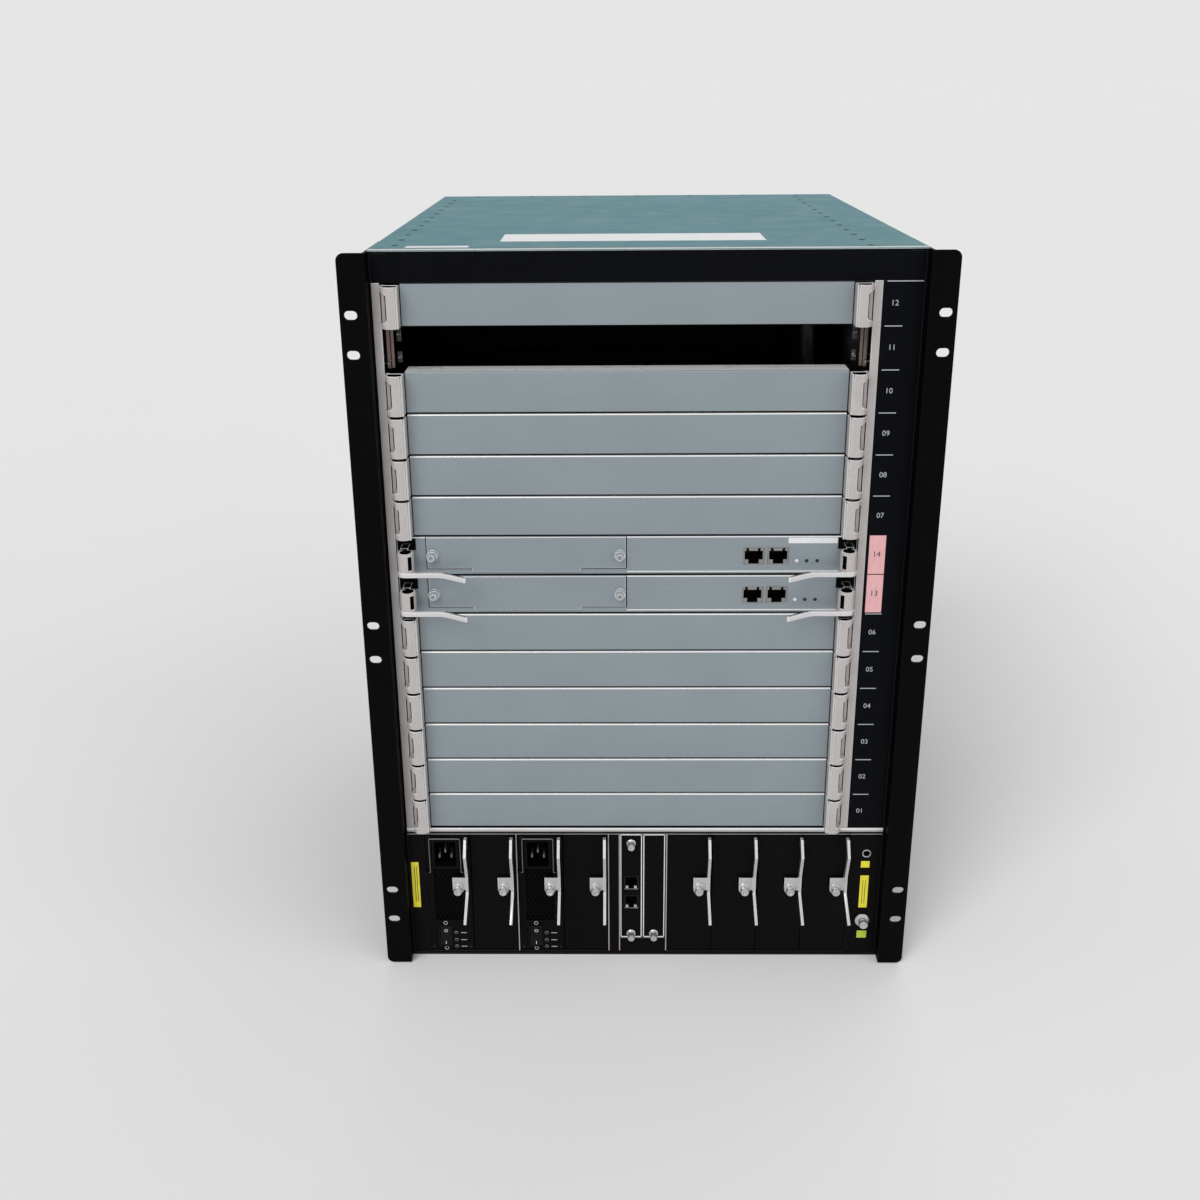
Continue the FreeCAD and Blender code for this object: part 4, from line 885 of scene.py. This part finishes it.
CARD_SHADE, CARD_STEP, CARD_FLANGE = 1, 38, 3
POCKET_HALF = 7.8
PORT_LEFTS, PORT_WIDTH, PORT_LOW, PORT_HIGH, PORT_DEPTH = (82.7, 103.3), 17, 10, 24.6, 19
LIT_LAMP, DARK_LAMPS, LAMP_UP = 127.5, (135.9, 144.7), 12.8
LAMP_HEAD = [(1.5, 0), (1.5, 0.3), (1.2, 0.3), (1.1, 0.1),
             (0.5, 0.45)]
THUMB_SCREWS, THUMB_UP = (-181.2, -22), 18


def sub_card_shade(name):
    """Painted shade along the edges of a sub-card, as spans; its flange is stepped at both ends."""
    low, high = box_mm(f"subcard_{name}")
    foot = low.z + CARD_FLANGE
    return [((left, PANEL_FACE - 0.2, bottom), (right, PANEL_FACE + 0.1, top))
            for left, bottom, right, top in (
                (low.x - CARD_SHADE, foot, low.x, high.z),
                (high.x, foot, high.x + CARD_SHADE, high.z),
                (low.x - CARD_SHADE, foot - CARD_SHADE, low.x + CARD_STEP, foot),
                (high.x - CARD_STEP, foot - CARD_SHADE, high.x + CARD_SHADE, foot))]


def control_board_details(name):
    """Jacks, lamps, thumb screws and ejectors of one control board, painted highlight and painted
    shade along its edges and seams, and on the first board a bare label.
    """
    body = f"control_board_{name}"
    floor_z = slot_top(name) - SLOT_HEIGHT
    low, high = box_mm(body)
    card_low, card_high = box_mm(f"subcard_{name}")
    face = PANEL_FACE
    # Painted highlight along the board's upper edge and along a strip near its foot.
    blocks(f"board_edge_highlight_{name}", [
        ((low.x, face - 0.2, high.z - 1.1), (high.x, face + 0.6, high.z)),
        ((card_high.x + 1, face - 0.2, low.z + 2.4),
         (high.x - GRIP_WIDTH, face + 0.6, low.z + 3.3)),
    ], painted_highlight, body, "panel_metal", 0.2)
    # Painted shade in the pockets above the ejector hubs and along the board's lower edge.
    shade_spans = []
    for word in ("left", "right"):
        x, top = smooth_ejector(name, word)
        shade_spans.append(((x - POCKET_HALF, face - 0.25, top - 1),
                        (x + POCKET_HALF, face + 0.3, high.z - 1.2)))
    shade_spans.append(((low.x, face - 0.2, low.z), (high.x, face + 0.1, low.z + 1)))
    # Painted highlight along the sub-card's lower edge; painted shade along its other edges.
    blocks(f"card_edge_highlight_{name}", [((card_low.x + CARD_STEP, face - 0.35, card_low.z),
                                  (card_high.x - CARD_STEP, face + 0.1, card_low.z + 0.9))],
           painted_highlight, body, "panel_metal", 0.15)
    blocks(f"board_shade_{name}", shade_spans + sub_card_shade(name), painted_shade_black, body, "panel_metal")
    lining, contacts, rims, shields = Shape(), Shape(), Shape(), Shape()
    for left in PORT_LEFTS:
        first = at(left, face, floor_z + PORT_LOW)
        last = at(left + PORT_WIDTH, face, floor_z + PORT_HIGH)
        jack(lining, contacts, rims, first, last, PORT_DEPTH * MM)
        shield(shields, first, last)
    shields.fitted(f"port_shields_{name}", shield_steel, body, "lever_metal", 0.1)
    lining.fitted(f"port_lining_{name}", plastic_black, body, "black_plastic", 0.1)
    contacts.fitted(f"port_contacts_{name}", gold, body, "lever_metal")
    rims.fitted(f"port_rims_{name}", shield_steel, body, "panel_metal", 0.1)
    for part, places, finish in (("board_lamps", DARK_LAMPS, lamp_lens),
                                 ("board_lamp", (LIT_LAMP,), label_white)):
        lamps = Shape()
        for x in places:
            lamps.turned(at(x, face, floor_z + LAMP_UP), FORWARD, LAMP_HEAD, 20)
        lamps.fitted(f"{part}_{name}", finish, body, "black_plastic")
    screws = Shape()
    for x in THUMB_SCREWS:
        captive_screw(screws, at(x, face - 1.6, floor_z + THUMB_UP), FORWARD, 3.6, 5)
    screws.fitted(f"board_screws_{name}", screw_steel, body, "lever_metal")
    if name == CONTROL_SLOTS[0]:
        sticker = (120, face - 0.12, floor_z + 28.6), (161.3, face, floor_z + 33.6)
        blocks(f"board_label_{name}", [sticker], label_white, body, "panel_metal")


for name in CONTROL_SLOTS:
    control_board_details(name)

# ---- power bay
SUPPLY_LAMP_X, SUPPLY_LAMP_HEAD = 24.6, [(1.5, 0), (1.5, 0.25), (1.0, 0.5)]
INLET_X, INLET_DROP = 18.5, 23.5
SWITCH_X, SWITCH_UP = 9.5, 5


def supply_details(number):
    """Grille, inlet pins, lamps, switch marks and screws of one power supply."""
    body = f"power_supply_{number}"
    low, high = box_mm(body)

    def spot(x, y, z):
        """A point from the lower left corner of the supply's face."""
        return at(low.x + x, PANEL_FACE + y, low.z + z)

    grille, lamps, dashes, pins, marks, screws, bezel = (Shape() for _ in range(7))
    grille.honeycomb(spot(6.1, 0.6, 33.1), spot(32.9, 0.6, 90.9), RIGHTWARD, UP, 4.3, 0.9,
                     -0.8)
    grille.fitted(f"supply_grille_{number}", body_black, body, "supply_case")
    for z in (19, 11, 3.5):
        lamps.turned(spot(SUPPLY_LAMP_X, 0, z), FORWARD, SUPPLY_LAMP_HEAD, 20)
        dashes.hoop(spot(SUPPLY_LAMP_X, -0.03, z), FORWARD, 1.6, 0.12, 20, 6)
        dashes.slab(spot(29, -0.08, z - 0.35), spot(34.5, 0, z + 0.35))
    lamps.fitted(f"supply_lamps_{number}", lamp_lens, body, "black_plastic")
    dashes.fitted(f"supply_dashes_{number}", print_grey, body, "supply_case")
    for x, z in ((INLET_X - 5.5, 0), (INLET_X, 5.5), (INLET_X + 5.5, 0)):
        z += high.z - low.z - INLET_DROP
        pins.slab(spot(x - 0.9, -0.6, z - 1.8), spot(x + 0.9, 8, z + 1.8))
    pins.fitted(f"inlet_pins_{number}", wire_steel, body, "lever_metal", 0.3)
    for z in (1.8, 30):
        marks.hoop(spot(15, -0.03, z), FORWARD, 1.7, 0.3, 24, 6)
    marks.fitted(f"supply_marks_{number}", print_grey, body, "supply_case")
    for x, z in ((3.2, 124), (38, 3.5), (3.2, 3.5)):
        flat_screw(screws, spot(x, 0, z), FORWARD, 1.7)
    screws.fitted(f"supply_screws_{number}", dark_edge, body, "lever_metal")
    for x0, z0, x1, z1 in ((-1.2, -1.2, 12.2, -0.4), (-1.2, 21.4, 12.2, 22.2),
                           (-1.2, -0.4, -0.4, 21.4), (11.4, -0.4, 12.2, 21.4)):
        bezel.slab(spot(SWITCH_X + x0, -0.8, SWITCH_UP + z0),
                   spot(SWITCH_X + x1, 0, SWITCH_UP + z1))
    bezel.fitted(f"switch_bezel_{number}", plastic_black, body, "black_plastic", 0.15)
    switch = f"rocker_{number}"
    cap_low, cap_high = box_mm(switch)
    middle = (cap_low.x + cap_high.x) / 2 - low.x
    for word, mark, proud, up, size in (("on", "I", 2.4, 9.5, 5), ("off", "O", 0.06, 21, 4.5)):
        printed(f"switch_{word}_{number}", mark, spot(middle, -proud, up), size, label_white,
                switch, "black_plastic")


for number in (1, 2):
    supply_details(number)


BAIL_PIN, BAIL_INSET, BAIL_FOOT, BAIL_BEND = 1.1 * MM, 2.4 * MM, 1.6 * MM, 3 * MM


def smooth_bail(number):
    """A cord bail of round spring wire, over the square one of the frame."""
    node = f"cord_bail_{number}"
    low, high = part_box(node)
    bottom, top, depth = low.z + BAIL_PIN, high.z - BAIL_PIN, (low.y + high.y) / 2
    path = []
    for end, side in ((low.x, 1), (high.x, -1)):
        leg = end + side * BAIL_INSET + side * BAIL_PIN
        half = [(end, bottom), (leg - side * BAIL_FOOT, bottom), (leg, bottom),
                (leg, bottom + BAIL_FOOT), (leg, top - BAIL_BEND), (leg, top),
                (leg + side * BAIL_BEND, top)]
        path += half[::side]
    curve = bpy.data.curves.new(f"bail_wire_{number}", "CURVE")
    curve.dimensions = "3D"
    curve.bevel_depth = 0.55 * MM
    curve.bevel_resolution = 4
    curve.resolution_u = 6
    curve.use_fill_caps = True
    line = curve.splines.new("NURBS")
    line.points.add(len(path) - 1)
    for point, (x, z) in zip(line.points, path):
        point.co = (x, depth, z, 1)
    line.order_u = 3
    line.use_endpoint_u = True
    curve.materials.append(wire_steel)
    made = bpy.data.objects.new(f"bail_wire_{number}", curve)
    placed(made, node, "wire_steel")
    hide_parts(node)


for number in (1, 2):
    smooth_bail(number)


def lever_screws():
    """The captive screw in each lever's lug."""
    for number in range(1, 9):
        node = f"lever_{number}"
        low, high = box_mm(node)
        screw = Shape()
        captive_screw(screw, at(high.x - 9.9, PANEL_FACE - 4, low.z + 20.2), FORWARD, 3.9, 6)
        screw.fitted(f"lever_screw_{number}", screw_steel, node, "lever_metal")


lever_screws()

MONITOR_PORT_UPS, MONITOR_PORT_LEFT, MONITOR_PORT_RIGHT = (33, 54), 3.9, 16.4
MONITOR_SCREW_UP = 4.6
HIGHLIGHT_WIDTH, HIGHLIGHT_HEIGHT = 0.9, 1.4


def highlight_frame(name, node, body):
    """A painted highlight framing one monitoring place."""
    low, high = box_mm(node)
    face = PANEL_FACE - 0.25
    spans = [((x, face, low.z), (x + HIGHLIGHT_WIDTH, PANEL_FACE, high.z))
             for x in (low.x, high.x - HIGHLIGHT_WIDTH)]
    spans += [((low.x, face, z), (high.x, PANEL_FACE, z + HIGHLIGHT_HEIGHT))
              for z in (low.z, high.z - HIGHLIGHT_HEIGHT)]
    blocks(name, spans, painted_highlight, body, "bay_face", 0.1)


def monitor_details():
    """Screws and jacks of the monitoring card, and the painted highlight framing both places."""
    body = "monitor_card"
    low, high = box_mm(body)
    blank_low, blank_high = box_mm("monitor_blank")
    foot = low.z + MONITOR_SCREW_UP
    card_screws, blank_screws = Shape(), Shape()
    for screws, left, right, z in ((card_screws, low.x, high.x, high.z - 10),
                                   (card_screws, low.x, high.x, foot),
                                   (blank_screws, blank_low.x, blank_high.x, foot)):
        captive_screw(screws, at((left + right) / 2, PANEL_FACE, z), FORWARD, 3.3, 8)
    card_screws.fitted("monitor_screws", screw_steel, body, "lever_metal")
    blank_screws.fitted("blank_screw", screw_steel, "chassis", "lever_metal")
    lining, contacts, rims, latches = Shape(), Shape(), Shape(), Shape()
    for up in MONITOR_PORT_UPS:
        bottom = low.z + up
        jack(lining, contacts, rims, at(low.x + MONITOR_PORT_LEFT, PANEL_FACE, bottom),
             at(low.x + MONITOR_PORT_RIGHT, PANEL_FACE, bottom + 13.5), 13 * MM)
        for x in (low.x + 4.9, low.x + 12.7):
            latches.slab(at(x, PANEL_FACE + 0.4, bottom + 0.4),
                         at(x + 2.6, PANEL_FACE + 2, bottom + 3))
    lining.fitted("monitor_port_lining", plastic_black, body, "black_plastic", 0.1)
    contacts.fitted("monitor_port_contacts", gold, body, "lever_metal")
    rims.fitted("monitor_port_rims", dark_edge, body, "lever_metal", 0.1)
    latches.fitted("monitor_port_latches", screw_steel, body, "lever_metal", 0.2)
    highlight_frame("blank_highlights", "monitor_blank", "chassis")
    highlight_frame("monitor_highlights", body, body)


monitor_details()

DIVIDERS, DIVIDER_HALF, DIVIDER_FOOT = (-117.8, -33, -23, 20.6), 0.45, 5
LABELS = (
    ("left_label", -216, 53.5, -209, 103, label_yellow),
    ("strap_label", 199.6, 97.4, 207.6, 104.4, label_yellow),
    ("right_label", 200, 53.6, 207.8, 88.8, label_yellow),
    ("earth_label", 200.2, 19.7, 209.2, 27.7, label_green),
)
LABEL_LINES = ((-213.4, 60, -212.8, 98), (-211.4, 60, -210.8, 98),
               (202.4, 58, 202.9, 84), (204.6, 58, 205.1, 84))
MARGIN_MIDDLE, STRAP_UP, EARTH_UP = 204, 113.3, 40.7


def bay_frame_details():
    """Divider edges, the bright shelf edge with a painted highlight on its lip and a painted shade
    line for its groove, labels, the wrist-strap ring and the earth screw.
    """
    low, high = box_mm("power_bay_frame")
    shelf = COLUMN_LOW.z
    # The lip is a painted highlight and the groove a painted shade line, both laid over the shelf's
    # silver edge.
    for name, front, back, bottom, top, finish, rounding in (
            ("shelf_edge", 0.3, 0, 7, 0.1, shelf_silver, 0.12),
            ("shelf_lip_highlight", 0.35, 0.25, 2, 0.1, painted_highlight, 0),
            ("shelf_groove_shade", 0.35, 0.25, 6.4, 4, dark_edge, 0)):
        span = (low.x, BODY_FRONT - front, shelf - bottom), (high.x, BODY_FRONT - back, shelf - top)
        blocks(name, [span], finish, "chassis", "frame_metal", rounding)
    spans = [((x - DIVIDER_HALF, BODY_FRONT - 0.3, DIVIDER_FOOT),
              (x + DIVIDER_HALF, BODY_FRONT, shelf - 7.2)) for x in DIVIDERS]
    blocks("divider_edges", spans, rail_silver, "chassis", "frame_metal", 0.1)
    for name, left, bottom, right, top, finish in LABELS:
        span = (left, BODY_FRONT - 0.12, bottom), (right, BODY_FRONT, top)
        blocks(name, [span], finish, "chassis", "frame_metal", 0.05)
    spans = [((left, BODY_FRONT - 0.16, bottom), (right, BODY_FRONT - 0.1, top))
             for left, bottom, right, top in LABEL_LINES]
    blocks("label_lines", spans, print_dark, "chassis", "frame_metal")
    ring, earth = Shape(), Shape()
    ring.hoop(at(MARGIN_MIDDLE, BODY_FRONT - 1, STRAP_UP), FORWARD, 3.6, 0.55, 40, 8)
    ring.fitted("strap_ring", screw_steel, "chassis", "lever_metal")
    centre = at(MARGIN_MIDDLE, BODY_FRONT - 1.5, EARTH_UP)
    earth.turned(centre, FORWARD, [(6.7, 0), (6.7, 0.8), (6.2, 1.2)], 40)
    captive_screw(earth, centre + FORWARD * 1.2 * MM, FORWARD, 4.2, 7)
    earth.fitted("earth_screw", screw_steel, "chassis", "lever_metal")


bay_frame_details()

# ---- sides and rear
FIELD_WIDTH, FIELD_WEB, FIELD_COLUMNS, FIELD_ROWS = 84, 16, 3, 2
FIELD_DEPTH = 0.8
RAIL_DEPTH = 34
VENT_HALF, VENT_LOW, VENT_HIGH, VENT_INSET = 206, 18, 116, 2.4
REAR_SCREW_X, REAR_SCREW_FIRST, REAR_SCREW_STEP = 212, 20, 78


def side_grilles():
    """The perforated sheet in each pressed intake field of the two sides."""
    first_y = BODY_FRONT + RAIL_DEPTH + FIELD_WEB
    span = COLUMN_HIGH.z - COLUMN_LOW.z
    height = (span - (FIELD_ROWS + 1) * FIELD_WEB) / FIELD_ROWS
    for word, side in (("left", -1), ("right", 1)):
        back = side * (side_skin(word) / MM - FIELD_DEPTH)
        grille = Shape()
        for column in range(FIELD_COLUMNS):
            for row in range(FIELD_ROWS):
                y = first_y + column * (FIELD_WIDTH + FIELD_WEB)
                z = COLUMN_LOW.z + FIELD_WEB + row * (height + FIELD_WEB)
                grille.honeycomb(at(back, y, z), at(back, y + FIELD_WIDTH, z + height), REARWARD,
                                 UP, 9, 1.6, (FIELD_DEPTH - 0.05) * side)
        grille.fitted(f"intake_grille_{word}", body_black, "chassis", "body_paint")


side_grilles()


def rear_details():
    """A perforated sheet behind the vents of the power bay, and the screws of the rear panel."""
    grille, screws = Shape(), Shape()
    inset = BODY_REAR - VENT_INSET
    grille.honeycomb(at(-VENT_HALF, inset, VENT_LOW), at(VENT_HALF, inset, VENT_HIGH), RIGHTWARD,
                     UP, 7, 1.3, 0.8)
    grille.fitted("rear_grille", body_black, "chassis", "body_paint")
    for x in (-REAR_SCREW_X, REAR_SCREW_X):
        for step in range(9):
            flat_screw(screws, at(x, BODY_REAR, REAR_SCREW_FIRST + REAR_SCREW_STEP * step),
                       REARWARD, 3)
    screws.fitted("rear_screws", screw_steel, "chassis", "lever_metal")


rear_details()


BLADES, BLADE_ACROSS, BLADE_ALONG = 7, 7, 9
BLADE_THICK, BLADE_CAMBER, BLADE_SWEEP = 1.3 * MM, 0.16, 0.34


def rotor_blades(shape, centre, hub, reach, depth):
    """Swept, twisted and cambered blades round the axis along Y."""
    def corner(base, skin, part, share):
        radius = hub + (reach - hub) * part
        pitch, chord = radians(44 - 20 * part), (34 + 22 * part) * MM
        camber = (0.25 - share * share) * chord * BLADE_CAMBER
        thick = skin * BLADE_THICK * sqrt(max(0.0, 1 - (2 * share) ** 2))
        height = share * chord * sin(pitch) + (camber + thick) * cos(pitch)
        angle = base + BLADE_SWEEP * part * part + share * chord * cos(pitch) / radius
        spot = radius * cos(angle), min(depth, max(-depth, height)), radius * sin(angle)
        return shape.corner(centre + Vector(spot))

    for number in range(BLADES):
        base = tau * number / BLADES
        lower, upper = (
            [[corner(base, skin, step / BLADE_ALONG, place / BLADE_ACROSS - 0.5)
              for place in range(BLADE_ACROSS + 1)] for step in range(BLADE_ALONG + 1)]
            for skin in (-1, 1))
        bands = [*zip(lower, lower[1:]), *zip(upper, upper[1:])]
        for near, far in bands:
            for place in range(BLADE_ACROSS):
                shape.face((near[place], near[place + 1], far[place + 1], far[place]))
        for place in range(BLADE_ACROSS):
            for near, far in ((lower[0], upper[0]), (lower[-1], upper[-1])):
                shape.face((near[place], near[place + 1], far[place + 1], far[place]))


ROTOR_HUB = [
    (12, -23), (30, -22.6), (34.5, -20), (36, -15), (36, 22), (35, 23), (32, 23), (32, 4), (6, 4),
    (5, 38),
]
GUARD_FIRST, GUARD_STEP, GUARD_WIRE = 30, 13.2, 1.1


def smooth_rotor(word):
    """A rotor with a rounded hub and twisted blades, over the plain one of the frame."""
    node = f"fan_rotor_{word}"
    rotor_low, rotor_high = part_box(node)
    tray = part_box("fan_tray_" + word.split("_")[0])
    side = -1 if word.endswith("left") else 1
    centre = Vector((side * (tray[1].x + 1 * MM - 7 * MM) / 2, rotor_low.y + 23 * MM,
                     (rotor_low.z + rotor_high.z) / 2))
    reach = (rotor_high.z - rotor_low.z) / 2 - 1 * MM
    shape = Shape()
    shape.turned(centre, REARWARD, ROTOR_HUB, 48)
    rotor_blades(shape, centre, 34 * MM, reach, 22 * MM)
    made = shape.fitted(f"rotor_{word}", fan_grey, node, "black_plastic")
    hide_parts(node)


for word in ("lower_left", "lower_right", "upper_left", "upper_right"):
    smooth_rotor(word)


def tray_details(row):
    """Finger guards and thumb screws of one fan tray."""
    node = f"fan_tray_{row}"
    low, high = box_mm(node)
    plate = BODY_REAR + 2
    middle = (low.z + high.z) / 2
    guards, screws = Shape(), Shape()
    for side in (-1, 1):
        x = side * abs(high.x - 6) / 2
        for step in range(5):
            guards.hoop(at(x, plate + 1.6, middle), REARWARD, (GUARD_FIRST + GUARD_STEP * step),
                        GUARD_WIRE, 72, 8)
        guards.turned(at(x, plate, middle), REARWARD,
                      [(26, 0), (26, 1.6), (23, 2.6)], 48)
    guards.fitted(f"finger_guards_{row}", screw_steel, node, "wire_steel")
    for x in (low.x + 8, high.x - 8):
        for z in (low.z + 12, high.z - 12):
            captive_screw(screws, at(x, plate, z), REARWARD, 4.5, 10)
    screws.fitted(f"tray_screws_{row}", screw_steel, node, "lever_metal")


for row in ("lower", "upper"):
    tray_details(row)

# ---- stage, lamps and camera
floor_finish = Finish("stage_floor", (0.80, 0.80, 0.80), 0.0, 0.9, 0.1)
floor_tone = floor_finish.mixed(floor_finish.noise(3, 3), (0.79, 0.79, 0.79), (0.81, 0.81, 0.81))
floor_finish.link(floor_tone, floor_finish.shader.inputs["Base Color"])
bpy.ops.mesh.primitive_plane_add(size=600)
stage_floor = bpy.context.object
stage_floor.name = "stage_floor"
stage_floor.data.materials.append(floor_finish.material)


def studio_world():
    """A soft white surround, which the camera, metal and glass see as a pale backdrop."""
    world = bpy.data.worlds.new("studio")
    world.use_nodes = True
    tree = world.node_tree
    light = tree.nodes["Background"]
    light.inputs["Color"].default_value = (1, 1, 1, 1)
    light.inputs["Strength"].default_value = 0.45
    backdrop = tree.nodes.new("ShaderNodeBackground")
    backdrop.inputs["Color"].default_value = (0.79, 0.79, 0.79, 1)
    rays = tree.nodes.new("ShaderNodeLightPath")
    seen = rays.outputs["Is Camera Ray"]
    for kind in ("Is Glossy Ray", "Is Transmission Ray"):
        either = tree.nodes.new("ShaderNodeMath")
        either.operation = "MAXIMUM"
        tree.links.new(seen, either.inputs[0])
        tree.links.new(rays.outputs[kind], either.inputs[1])
        seen = either.outputs[0]
    blend = tree.nodes.new("ShaderNodeMixShader")
    tree.links.new(seen, blend.inputs[0])
    tree.links.new(light.outputs[0], blend.inputs[1])
    tree.links.new(backdrop.outputs[0], blend.inputs[2])
    tree.links.new(blend.outputs[0], tree.nodes["World Output"].inputs["Surface"])
    bpy.context.scene.world = world


def sun(name, heading, spread, strength):
    """A wide, soft light from far away, so that the whole floor is lit alike."""
    data = bpy.data.lights.new(name, "SUN")
    data.angle = radians(spread)
    data.energy = strength
    made = bpy.data.objects.new(name, data)
    made.rotation_euler = Vector(heading).to_track_quat("-Z", "Y").to_euler()
    bpy.context.scene.collection.objects.link(made)


studio_world()
sun("key", (0.42, 0.72, -0.80), 34, 1.55)
sun("fill", (-0.75, 0.55, -0.55), 60, 0.65)
sun("rim", (-0.3, -0.75, -0.9), 50, 0.35)

CAMERA_SPOT = (-0.0254, -1.1874, 0.7869)
CAMERA_PITCH, CAMERA_YAW, CAMERA_ROLL = 18.452, 0.77, -0.436
lens = bpy.data.cameras.new("camera")
lens.lens = 36.458
lens.sensor_width = 36
lens.shift_y = -0.09385
camera = bpy.data.objects.new("camera", lens)
camera.matrix_world = Matrix.Translation(CAMERA_SPOT)
for angle, axis in ((CAMERA_YAW, "Z"), (90 - CAMERA_PITCH, "X"), (CAMERA_ROLL, "Z")):
    camera.matrix_world = camera.matrix_world @ Matrix.Rotation(radians(angle), 4, axis)
bpy.context.scene.collection.objects.link(camera)
bpy.context.scene.camera = camera
bpy.context.scene.view_settings.view_transform = "Standard"
